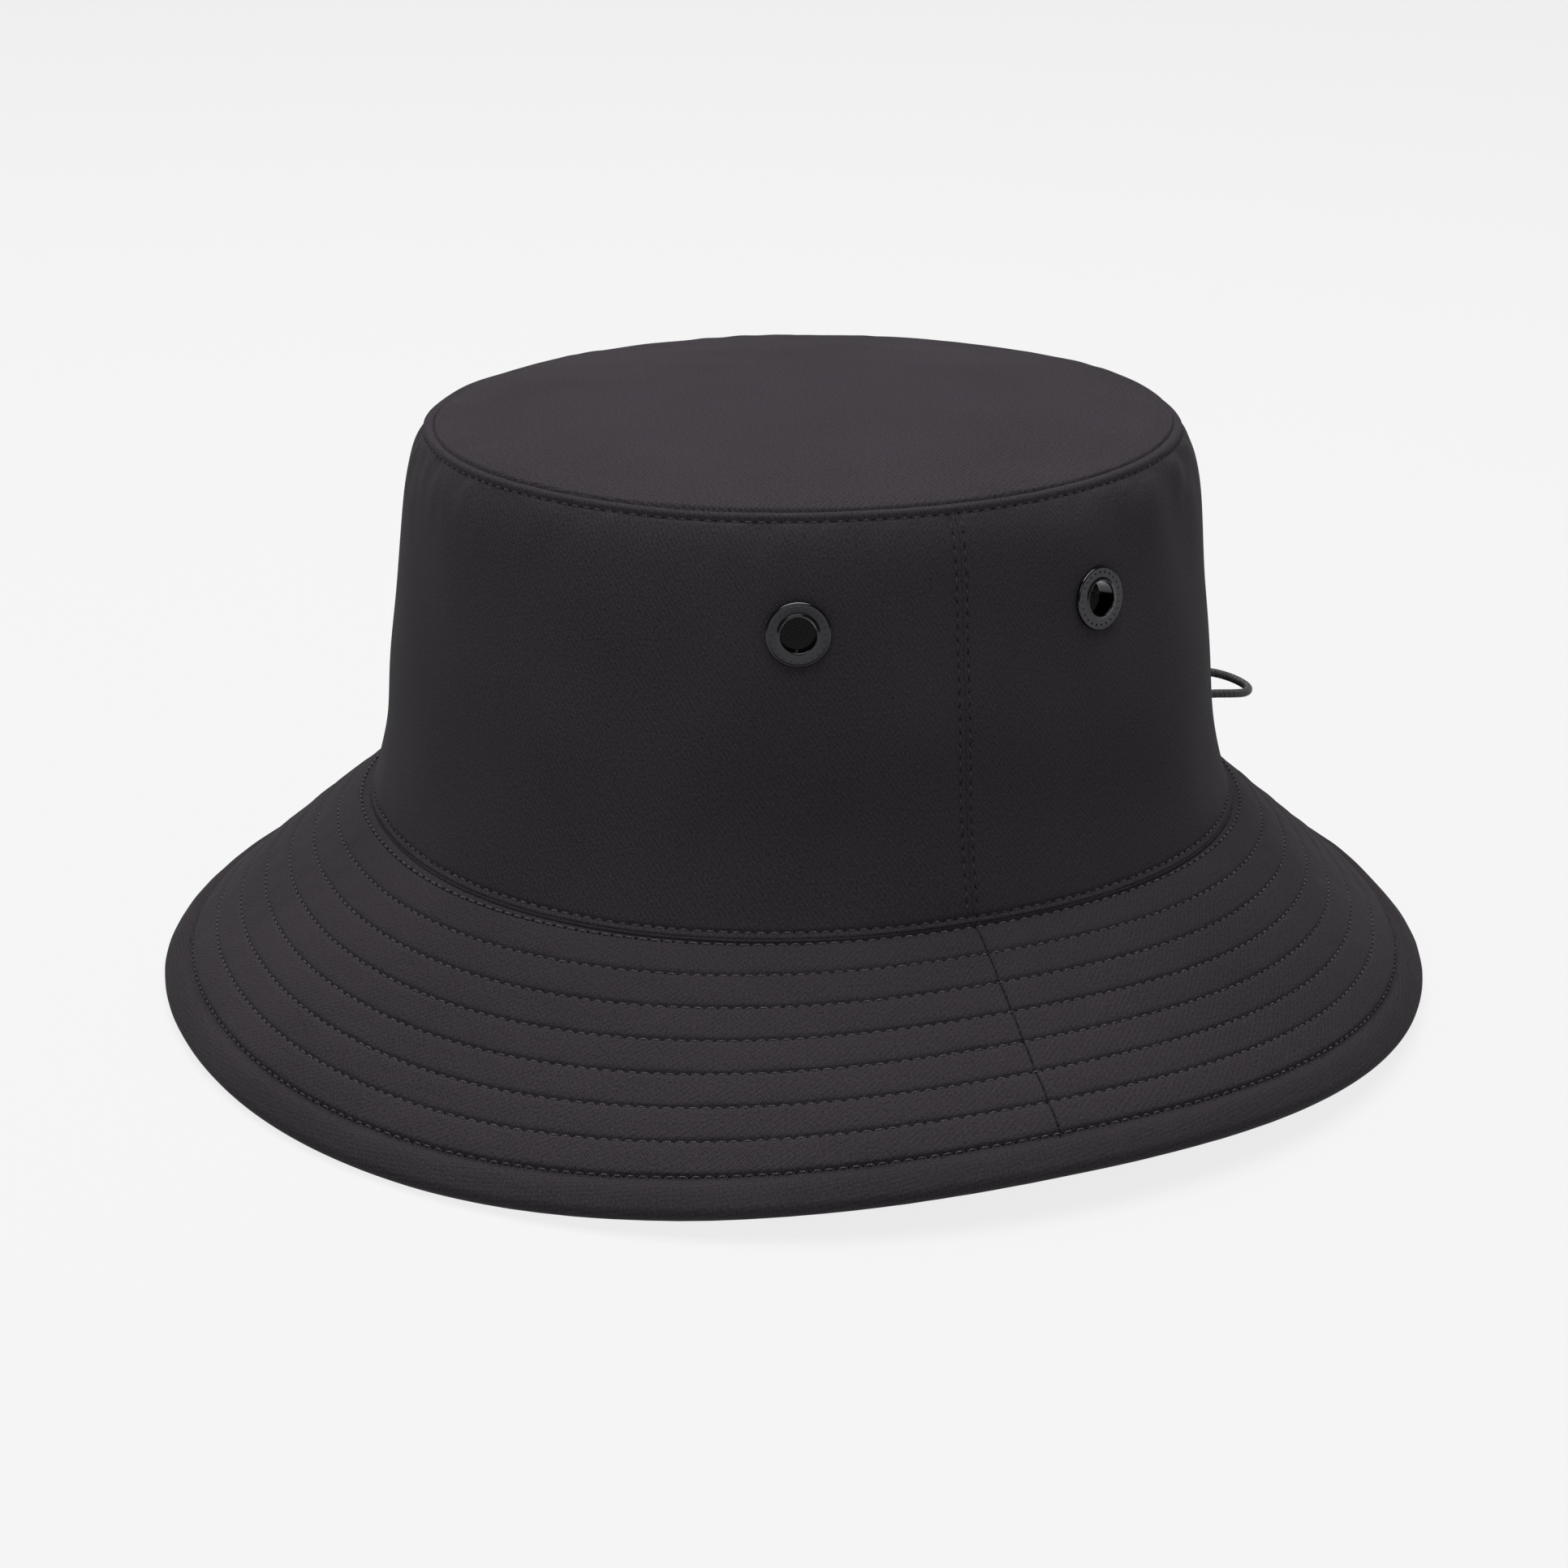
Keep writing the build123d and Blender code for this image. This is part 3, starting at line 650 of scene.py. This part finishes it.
def sweatband():
    angles = angles_between(-math.pi, math.pi, HEAD_X, 1.5)[:-1]
    heights = spread(0.3, BAND_TOP, 1.2, closer=(BAND_ROW_LOW, BAND_ROW_HIGH))
    height, angle = np.meshgrid(heights, angles, indexing="ij")
    puff = band_puff(wall_point(angle, height), height)
    puff -= 0.2 * bell(height - BAND_ROW_LOW, 0.5) + 0.2 * bell(height - BAND_TOP + 2.0, 0.5)
    rounding = 0.35 * (bell(height - 0.3, 0.5) + bell(height - BAND_TOP, 0.5))
    outside = wall_point(angle, height, -band_offset(angle) - rounding)
    inside = wall_point(angle, height, -band_offset(angle) - 1.0 - puff + rounding)
    uv = np.stack([angle * BAND_ROUND, height], axis=-1)
    return cloth_shell("sweatband_twill", outside, inside, uv, closed=True)


def band_row(band_height):
    def place(angle):
        height = np.full_like(angle, band_height)
        puff = band_puff(wall_point(angle, height), height)
        spot = wall_point(angle, height, -band_offset(angle) - 1.0 - puff + 0.2)
        return spot, unit(spot - wall_point(angle, height, 0.0))
    return place


# ------------------------------------------------------------------ metal
def across_axis(axis):
    """Two unit vectors square to the axis and to each other."""
    first = axis.orthogonal().normalized()
    return first, axis.cross(first)


def turned(name, profile, spot, axis):
    """A ring turned from (radius, height) points about the axis at spot."""
    segments = 96
    first, second = across_axis(axis)
    turn = np.linspace(0, 2 * math.pi, segments + 1)[:-1, None]
    profile = np.array(profile)
    radius, lift = profile[:, 0][:, None, None], profile[:, 1][:, None, None]
    circle = np.cos(turn) * np.array(first) + np.sin(turn) * np.array(second)
    grid = np.array(spot) + radius * circle[None] + lift * np.array(axis)
    rows = len(profile)
    index = np.arange(rows * segments).reshape(rows, segments)
    faces = list(grid_faces(rows, segments, closed=True, flip=True))
    faces += rim_faces(index[0], index[-1], closed=True)
    return new_mesh(name, grid.reshape(-1, 3), faces)


def rounded(corners, radius):
    """Closed outline with each corner rounded by an arc of points."""
    steps = 5
    out = []
    for i, corner in enumerate(corners):
        here = Vector(corner)
        before = Vector(corners[i - 1]) - here
        after = Vector(corners[(i + 1) % len(corners)]) - here
        reach = min(radius, before.length * 0.45, after.length * 0.45)
        start = here + before.normalized() * reach
        end = here + after.normalized() * reach
        for k in range(steps + 1):
            t = k / steps
            out.append((1 - t) ** 2 * start + 2 * t * (1 - t) * here + t ** 2 * end)
    return [(point.x, point.y) for point in out]


def eyelet(place):
    """Two-part eyelet: a shallow dished flange with a raised lip round the hole."""
    spot, normal = eyelet_frames[place]
    lip = [(3.6, 0.5), (3.68, 0.88), (3.9, 0.95), (4.15, 0.8), (4.4, 0.74)]
    flange = [(6.0, 0.72), (6.35, 0.76), (6.6, 0.5), (6.6, 0.05)]
    barrel = [(4.1, 0.05), (4.1, -2.6), (4.9, -2.75), (4.9, -3.2), (3.6, -3.25)]
    return turned(f"eyelet_metal_{place}", rounded(lip + flange + barrel, 0.25), spot, normal)


TICKS = 24
TICK_START, TICK_END = 5.15, 5.85           # radii on the flange


def eyelet_ticks(place):
    """Short raised bars round the flange, a plain machined pattern."""
    spot, normal = eyelet_frames[place]
    first, second = across_axis(normal)
    starts, ends = [], []
    for k in range(TICKS):
        turn = 2 * math.pi * k / TICKS
        way = first * math.cos(turn) + second * math.sin(turn)
        starts.append(np.array(spot + way * TICK_START + normal * 0.8))
        ends.append(np.array(spot + way * TICK_END + normal * 0.78))
    normals = np.repeat(np.array(normal)[None], TICKS, axis=0)
    name = f"eyelet_ticks_{place}"
    return stitch_mesh(name, np.array(starts), np.array(ends), normals, 0.15, 0.06)


def back_washer(place):
    spot, normal = eyelet_frames[place]
    outline = [(4.15, -1.95), (6.3, -1.95), (6.3, -2.4), (5.4, -2.55), (4.15, -2.5)]
    return turned(f"eyelet_back_{place}", rounded(outline, 0.15), spot, normal)


# ------------------------------------------------------------------ cord
CORD_DIAMETER = 2.0
CORD_HEIGHT, CORD_SPACING, CORD_TILT, CORD_DEPTH = 11.2, 9.0, 20.0, 3.65
HELD_ANGLES = [22.8, 31.2, 39.6, 48.0, 56.4, 64.8, 73.2, 81.6]
HALF_SPACING = CORD_SPACING / 2
LOOP_ROUTE = [
    (HALF_SPACING, -CORD_DEPTH, 0.0),
    (HALF_SPACING, 1.25, 0.0),
    (4.40, 9.2, 0.15),
    (4.45, 15.2, 0.9),
    (3.60, 19.6, 1.8),
    (0.90, 21.7, 2.4),
    (-2.60, 18.9, 1.9),
    (-4.35, 13.2, 0.7),
    (-4.45, 6.6, 0.1),
    (-HALF_SPACING, 1.25, 0.0),
    (-HALF_SPACING, -CORD_DEPTH, 0.0),
]
tilt = math.radians(CORD_TILT)
side_way = np.array([math.cos(tilt), 0, -math.sin(tilt)])
cord_upward = np.array([math.sin(tilt), 0, math.cos(tilt)])
cord_exit = wall_point(math.pi / 2, CORD_HEIGHT)


def held_point(direction, angle):
    turn = math.radians(angle)
    height = CORD_HEIGHT + direction * HALF_SPACING * side_way[2]
    spot = polar(turn, wall_radius(turn, height) - CORD_DEPTH, SEAM + height)
    return spot * [direction, 1, 1]


def loop_point(across, out, drop):
    return cord_exit + side_way * across + np.array([0, out, -drop])


cord_route = [held_point(1, angle) for angle in HELD_ANGLES]
cord_route += [loop_point(*place) for place in LOOP_ROUTE]
cord_route += [held_point(-1, angle) for angle in reversed(HELD_ANGLES)]


def drawcord():
    curve = bpy.data.curves.new("drawcord_elastic", "CURVE")
    curve.dimensions = "3D"
    curve.bevel_depth = CORD_DIAMETER / 2 * MM
    curve.bevel_resolution = 6
    curve.resolution_u = 12
    spline = curve.splines.new("NURBS")
    spline.points.add(len(cord_route) - 1)
    for point, spot in zip(spline.points, cord_route):
        point.co = (*(spot * MM), 1)
    spline.order_u = 3
    spline.use_endpoint_u = True
    curve.use_fill_caps = True
    piece = bpy.data.objects.new("drawcord_elastic", curve)
    bpy.context.scene.collection.objects.link(piece)
    return piece


def cord_length():
    """Length of the smooth line through the route, as the spline draws it."""
    bare = bpy.data.objects["drawcord_elastic"].data.copy()
    bare.bevel_depth = 0
    probe = bpy.data.objects.new("cord_probe", bare)
    bpy.context.scene.collection.objects.link(probe)
    mesh = bpy.data.meshes.new_from_object(probe)
    spots = np.array([vertex.co for vertex in mesh.vertices])
    bpy.data.objects.remove(probe)
    bpy.data.curves.remove(bare)
    bpy.data.meshes.remove(mesh)
    return float(np.linalg.norm(np.diff(spots, axis=0), axis=1).sum())


# ------------------------------------------------------------------ materials
class Nodes:
    """A new material, and helpers that add and link its shader nodes."""

    def __init__(self, name):
        self.material = bpy.data.materials.new(name)
        self.material.use_nodes = True
        self.tree = self.material.node_tree
        self.shader = self.tree.nodes["Principled BSDF"]

    def add(self, kind, **settings):
        node = self.tree.nodes.new(kind)
        for key, value in settings.items():
            if key in node.inputs:
                node.inputs[key].default_value = value
            else:
                setattr(node, key, value)
        return node

    def link(self, source, target):
        self.tree.links.new(source, target)

    def place(self, space="Object", turn=None):
        """Texture coordinates, turned by some degrees about Z."""
        spot = self.add("ShaderNodeTexCoord").outputs[space]
        if turn is None:
            return spot
        mapping = self.add("ShaderNodeMapping")
        mapping.inputs["Rotation"].default_value = (0, 0, math.radians(turn))
        self.link(spot, mapping.inputs["Vector"])
        return mapping.outputs["Vector"]

    def texture(self, kind, spot, **settings):
        node = self.add(f"ShaderNodeTex{kind}", **settings)
        self.link(spot, node.inputs["Vector"])
        return node

    def math(self, operation, first, second):
        node = self.add("ShaderNodeMath", operation=operation)
        for socket, value in zip(node.inputs, (first, second)):
            if isinstance(value, (int, float)):
                socket.default_value = value
            else:
                self.link(value, socket)
        return node.outputs[0]

    def colour(self, factor, dark, light, low=0.0, high=1.0):
        """Base colour that runs from dark to light as the factor goes from low to high."""
        ramp = self.add("ShaderNodeValToRGB")
        ends = ramp.color_ramp.elements
        ends[0].position, ends[0].color = low, (*dark, 1)
        ends[1].position, ends[1].color = high, (*light, 1)
        self.link(factor, ramp.inputs["Fac"])
        self.link(ramp.outputs["Color"], self.shader.inputs["Base Color"])

    def bump(self, height, strength, distance, invert=False):
        bump = self.add("ShaderNodeBump", Strength=strength, Distance=distance, invert=invert)
        self.link(height, bump.inputs["Height"])
        self.link(bump.outputs["Normal"], self.shader.inputs["Normal"])

    def surface(self, values):
        """Constant values on the shader's own sockets."""
        for socket, value in values.items():
            self.shader.inputs[socket].default_value = value


def shade(colour, share):
    return [c * share for c in colour]


def cloth(name, dark, light, pitch=0.0005, turn=52):
    """Woven cloth: a fine twill from crossed thread waves, with sheen and slow variation."""
    n = Nodes(name)
    wander = n.texture("Noise", n.place("UV"), Scale=1800.0, Detail=2.0, Roughness=0.6)
    waves = []
    for angle, stretch in ((turn, 1.0), (turn - 90, 1.9)):
        scale = 2 * math.pi / (20 * pitch * stretch)
        wave = n.texture("Wave", n.place("UV", angle), Scale=scale, Distortion=0.6, Detail=1.0)
        wave.inputs["Detail Scale"].default_value = 2.0
        waves.append(wave.outputs["Fac"])
    weave = n.math("ADD", n.math("MULTIPLY", waves[0], 0.5), n.math("MULTIPLY", waves[1], 0.25))
    weave = n.math("ADD", weave, n.math("MULTIPLY", wander.outputs["Fac"], 2.4))
    slow = n.texture("Noise", n.place(), Scale=28.0, Detail=3.0).outputs["Fac"]
    tone = n.math("ADD", n.math("MULTIPLY", weave, 0.28), n.math("MULTIPLY", slow, 0.16))
    n.colour(tone, dark, light, 0.32, 0.74)
    n.bump(weave, 0.5, 0.00014)
    n.surface({
        "Roughness": 0.8, "Specular IOR Level": 0.1, "Sheen Weight": 0.01,
        "Sheen Roughness": 0.45, "Sheen Tint": (0.9, 0.86, 0.92, 1),
    })
    return n.material


def mesh_cloth(name, colour):
    """Warp-knit mesh: small dark holes in a honeycomb."""
    n = Nodes(name)
    cells = n.texture("Voronoi", n.place("UV"), feature="DISTANCE_TO_EDGE", Scale=620.0,
                      Randomness=0.15).outputs["Distance"]
    n.colour(cells, shade(colour, 1.8), shade(colour, 0.2), 0.12, 0.22)
    n.bump(cells, 0.7, 0.0003, invert=True)
    n.surface({"Roughness": 0.85, "Specular IOR Level": 0.08})
    return n.material


def thread(name, colour):
    """Twisted sewing thread."""
    n = Nodes(name)
    twist = n.texture("Wave", n.place(), Scale=700.0, Distortion=1.5,
                      bands_direction="DIAGONAL").outputs["Fac"]
    n.colour(twist, shade(colour, 0.6), shade(colour, 1.25))
    n.bump(twist, 0.5, 0.0001)
    n.surface({"Roughness": 0.8, "Specular IOR Level": 0.15})
    return n.material


def metal(name, colour, roughness, coat=0.0):
    """Plated metal with faint wear in its polish."""
    n = Nodes(name)
    wear = n.texture("Noise", n.place(), Scale=900.0, Detail=4.0).outputs["Fac"]
    rough = n.add("ShaderNodeMapRange")
    rough.inputs["To Min"].default_value = roughness * 0.9
    rough.inputs["To Max"].default_value = roughness * 1.15
    n.link(wear, rough.inputs["Value"])
    n.link(rough.outputs["Result"], n.shader.inputs["Roughness"])
    n.colour(wear, shade(colour, 0.85), shade(colour, 1.15))
    n.surface({"Metallic": 1.0, "Coat Weight": coat, "Coat Roughness": 0.08})
    return n.material


def moulded(name, colour):
    """Moulded nylon with a fine spark-eroded grain."""
    n = Nodes(name)
    grain = n.texture("Noise", n.place(), Scale=3500.0, Detail=2.0).outputs["Fac"]
    n.colour(grain, shade(colour, 0.8), shade(colour, 1.2))
    n.bump(grain, 0.25, 0.00005)
    n.surface({"Roughness": 0.45})
    return n.material


def braid(name, colour):
    """Braided elastic: crossed diagonal strands round the cord."""
    n = Nodes(name)
    strands = [
        n.texture("Wave", n.place(turn=angle), Scale=420.0, Distortion=0.3).outputs["Fac"]
        for angle in (35, -35)
    ]
    weave = n.math("MAXIMUM", *strands)
    n.colour(weave, shade(colour, 0.45), shade(colour, 1.3))
    n.bump(weave, 0.6, 0.00014)
    n.surface({"Roughness": 0.6, "Sheen Weight": 0.25})
    return n.material


CHARCOAL_DARK, CHARCOAL_LIGHT = (0.0117, 0.0098, 0.0119), (0.0383, 0.0327, 0.0392)
# The rolled edge is the same charcoal made about a tenth darker: painted shade against the light
# on its upper face.
EDGE_SHADED_DARK, EDGE_SHADED_LIGHT = (0.0105, 0.0087, 0.0106), (0.0342, 0.0292, 0.035)
INNER_DARK = (0.008, 0.008, 0.009)
crown_cloth = cloth("crown_microfibre", CHARCOAL_DARK, CHARCOAL_LIGHT)
brim_cloth = cloth("brim_microfibre", CHARCOAL_DARK, CHARCOAL_LIGHT, turn=38)
edge_cloth_painted_shade = cloth("edge_microfibre_painted_shade", EDGE_SHADED_DARK, EDGE_SHADED_LIGHT, turn=8)
band_cloth = cloth("sweatband_twill", INNER_DARK, (0.022, 0.021, 0.023), pitch=0.0008, turn=60)
tape_cloth = cloth("casing_tape", INNER_DARK, (0.02, 0.02, 0.021), pitch=0.0007, turn=90)
felt = cloth("interlining_felt", (0.02, 0.02, 0.02), (0.04, 0.04, 0.04), pitch=0.0009, turn=20)
# Near black: the mesh's own black, made darker still as painted shade of the hat's inside.
lining_mesh = mesh_cloth("lining_mesh", (0.006, 0.006, 0.0065))
grey_thread = thread("grey_thread", (0.066, 0.06, 0.064))
charcoal_thread = thread("charcoal_thread", (0.04, 0.036, 0.039))
# Real black thread, and also the painted shade of the needle holes between stitches.
black_thread_and_hole_shade = thread("black_thread_and_hole_shade", (0.005, 0.005, 0.005))
smoky_metal = metal("black_nickel", (0.03, 0.03, 0.034), 0.16, coat=0.35)
bright_steel = metal("spring_steel", (0.55, 0.55, 0.57), 0.25)
black_nylon = moulded("black_nylon", (0.012, 0.012, 0.012))
black_braid = braid("black_elastic", (0.012, 0.012, 0.012))


def finish(piece, material, body="hat", stands_for=()):
    """Material, body and CAD nodes of one piece."""
    piece.data.materials.clear()
    piece.data.materials.append(material)
    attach(piece, body)
    if stands_for:
        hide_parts(*stands_for)
    return piece


# ------------------------------------------------------------------ camera and cord first
CAMERA_AZIMUTH, CAMERA_ELEVATION, CAMERA_ROLL = 66.79, 17.87, 0.62
CAMERA_DISTANCE = 752.5
LENS = 77.3
AIM_RIGHT, AIM_UP = -3.91, -38.17           # aim point beside the crown's middle

azimuth, elevation = math.radians(CAMERA_AZIMUTH), math.radians(CAMERA_ELEVATION)
level_out = math.cos(elevation)
back_way = Vector((math.sin(azimuth) * level_out, -math.cos(azimuth) * level_out,
                   math.sin(elevation)))
right_way = Vector((math.cos(azimuth), math.sin(azimuth), 0))
up_way = back_way.cross(right_way)
middle = Vector((0, 0, SEAM + 40))
eye = middle + back_way * CAMERA_DISTANCE
aim = middle + right_way * AIM_RIGHT + up_way * AIM_UP
look = (eye - aim).normalized()
level = Vector((-look.y, look.x, 0)).normalized()
upright = look.cross(level)
roll = math.radians(CAMERA_ROLL)
camera_x = level * math.cos(roll) + upright * math.sin(roll)
camera_y = look.cross(camera_x)
turning = Matrix((camera_x, camera_y, look)).transposed().to_4x4()

lens = bpy.data.cameras.new("camera")
lens.sensor_width = 36
lens.lens = LENS
lens.clip_start = 0.01
camera = bpy.data.objects.new("camera", lens)
camera.matrix_world = Matrix.Translation(eye * MM) @ turning
bpy.context.scene.collection.objects.link(camera)
bpy.context.scene.camera = camera

cord_piece = finish(drawcord(), black_braid, stands_for=("drawcord",))
cord_length()

# ------------------------------------------------------------------ cloth pieces
HALVES = {"front": (-math.pi, 0.0), "back": (0.0, math.pi)}
SEAM_GAP = 0.0006                           # half the angle left open at a side seam

for half, (first, last) in HALVES.items():
    first, last = first + SEAM_GAP, last - SEAM_GAP
    finish(crown_half(f"crown_cloth_{half}", first, last), crown_cloth,
           stands_for=(f"crown_panel_{half}",))
    finish(brim_half(f"brim_cloth_{half}", first, last, under=False), brim_cloth,
           stands_for=(f"brim_top_{half}",))
    finish(brim_half(f"brim_under_cloth_{half}", first, last, under=True), brim_cloth,
           stands_for=(f"brim_under_{half}",))
    finish(brim_filling(f"brim_felt_{half}", first, last), felt,
           stands_for=(f"brim_interlining_{half}",))
    finish(lining_wall(f"lining_mesh_{half}", first, last), lining_mesh,
           stands_for=(f"lining_wall_{half}",))

finish(binding(), edge_cloth_painted_shade, stands_for=("brim_edge_binding",))
finish(tip_panel(), crown_cloth, stands_for=("tip_panel",))
foam = under_tip("tip_foam", 3.5, 3.5, drop=1.3, thick=0.7)
finish(foam, felt, stands_for=("tip_interlining",))
lining = under_tip("lining_tip_mesh", 3.2, 3.6, drop=2.3, thick=0.4, sag=0.25)
finish(lining, lining_mesh, stands_for=("lining_tip",))
finish(sweatband(), band_cloth, stands_for=("sweatband",))


# ------------------------------------------------------------------ thread pieces
def sew(name, rows, yarn, hole_shade=None):
    """A piece of these rows' stitches, and, if it has a name, a piece of black dashes between them
    as painted shade of the needle holes.
    """
    finish(stitch_mesh(name, *gather_rows(rows)), yarn)
    if hole_shade:
        # Painted shade: black dashes sunk into the needle holes between stitches.
        holes = stitch_mesh(hole_shade, *gather_rows(between(rows)), thickness=0.26, sink=0.2)
        finish(holes, black_thread_and_hole_shade)


# Each round row also gets black dashes of painted shade in its needle holes.
for name, rows in round_rows().items():
    sew(name, rows, grey_thread, hole_shade=f"{name}_gaps")

side_places = [(angle, offset) for angle in (0.0, math.pi) for offset in (-SIDE_ROW, SIDE_ROW)]
side_rows = [upright_row(*place, seed) for seed, place in enumerate(side_places, start=80)]
# The side seam rows get painted shade in their needle holes too.
sew("side_seam_stitches", side_rows, charcoal_thread, hole_shade="side_seam_hole_shade")
sew("brim_seam_stitches", [downward_row(0.0), downward_row(math.pi)], black_thread_and_hole_shade)
band_rows = [
    row_of_stitches(band_row(height), seed)
    for height, seed in ((BAND_ROW_LOW, 71), (BAND_ROW_HIGH, 72))
]
sew("sweatband_stitches", band_rows, black_thread_and_hole_shade)

# ------------------------------------------------------------------ hardware
for place in EYELETS:
    finish(eyelet(place), smoky_metal, stands_for=(f"eyelet_{place}",))
    finish(eyelet_ticks(place), smoky_metal)
    finish(back_washer(place), smoky_metal, stands_for=(f"eyelet_washer_{place}",))


def lock_spring():
    """The lock's coil in its CAD shape, as a piece with its own mesh."""
    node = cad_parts["cord_lock_spring"]
    corners = np.array([node.matrix_world @ corner.co for corner in node.data.vertices]) / MM
    faces = [tuple(face.vertices) for face in node.data.polygons]
    coil = new_mesh("lock_spring_coil", corners, faces)
    finish(coil, bright_steel, body="cord_lock", stands_for=("cord_lock_spring",))
    along = corners @ cord_upward
    foot = corners[along.argmin()]
    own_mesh(coil)


lock_spring()

NODE_FINISH = {
    "drawcord_casing": tape_cloth,
    "cord_eyelet_left": smoky_metal,
    "cord_eyelet_right": smoky_metal,
    "cord_lock_body": black_nylon,
    "cord_lock_button": black_nylon,
}
for name, material in NODE_FINISH.items():
    for material_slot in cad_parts[name].material_slots:
        material_slot.material = material

# ------------------------------------------------------------------ floor and light
FAR = 20000
floor = new_mesh("floor", [(-FAR, -FAR, 0), (FAR, -FAR, 0), (FAR, FAR, 0), (-FAR, FAR, 0)],
                 [(0, 1, 2, 3)], smooth=False)
paper = Nodes("pale_paper")
paper.surface({
    "Base Color": (0.04, 0.04, 0.04, 1), "Roughness": 0.9,
    "Emission Color": (1, 1, 1, 1), "Emission Strength": 0.815,
})
floor.data.materials.append(paper.material)

world = bpy.data.worlds.new("studio")
bpy.context.scene.world = world
world.use_nodes = True
background = world.node_tree.nodes["Background"]
background.inputs["Color"].default_value = (1, 1, 1, 1)
background.inputs["Strength"].default_value = 0.12


def softbox(name, spot, size, power):
    """A rectangular lamp, metres and watts, turned towards the crown."""
    light = bpy.data.lights.new(name, "AREA")
    light.shape = "RECTANGLE"
    light.size, light.size_y = size
    light.energy = power
    lamp = bpy.data.objects.new(name, light)
    bpy.context.scene.collection.objects.link(lamp)
    lamp.location = spot
    way = Vector(spot) - Vector((0, 0, 0.08))
    lamp.rotation_euler = way.to_track_quat("Z", "Y").to_euler()


softbox("overhead", (-0.1, -0.08, 1.75), (1.6, 1.6), 57)
softbox("behind", (-1.12, -0.07, 1.5), (1.4, 1.4), 1)
softbox("front", (1.6, -0.8, 1.4), (1.2, 1.0), 6)
bpy.context.scene.view_settings.view_transform = "Standard"
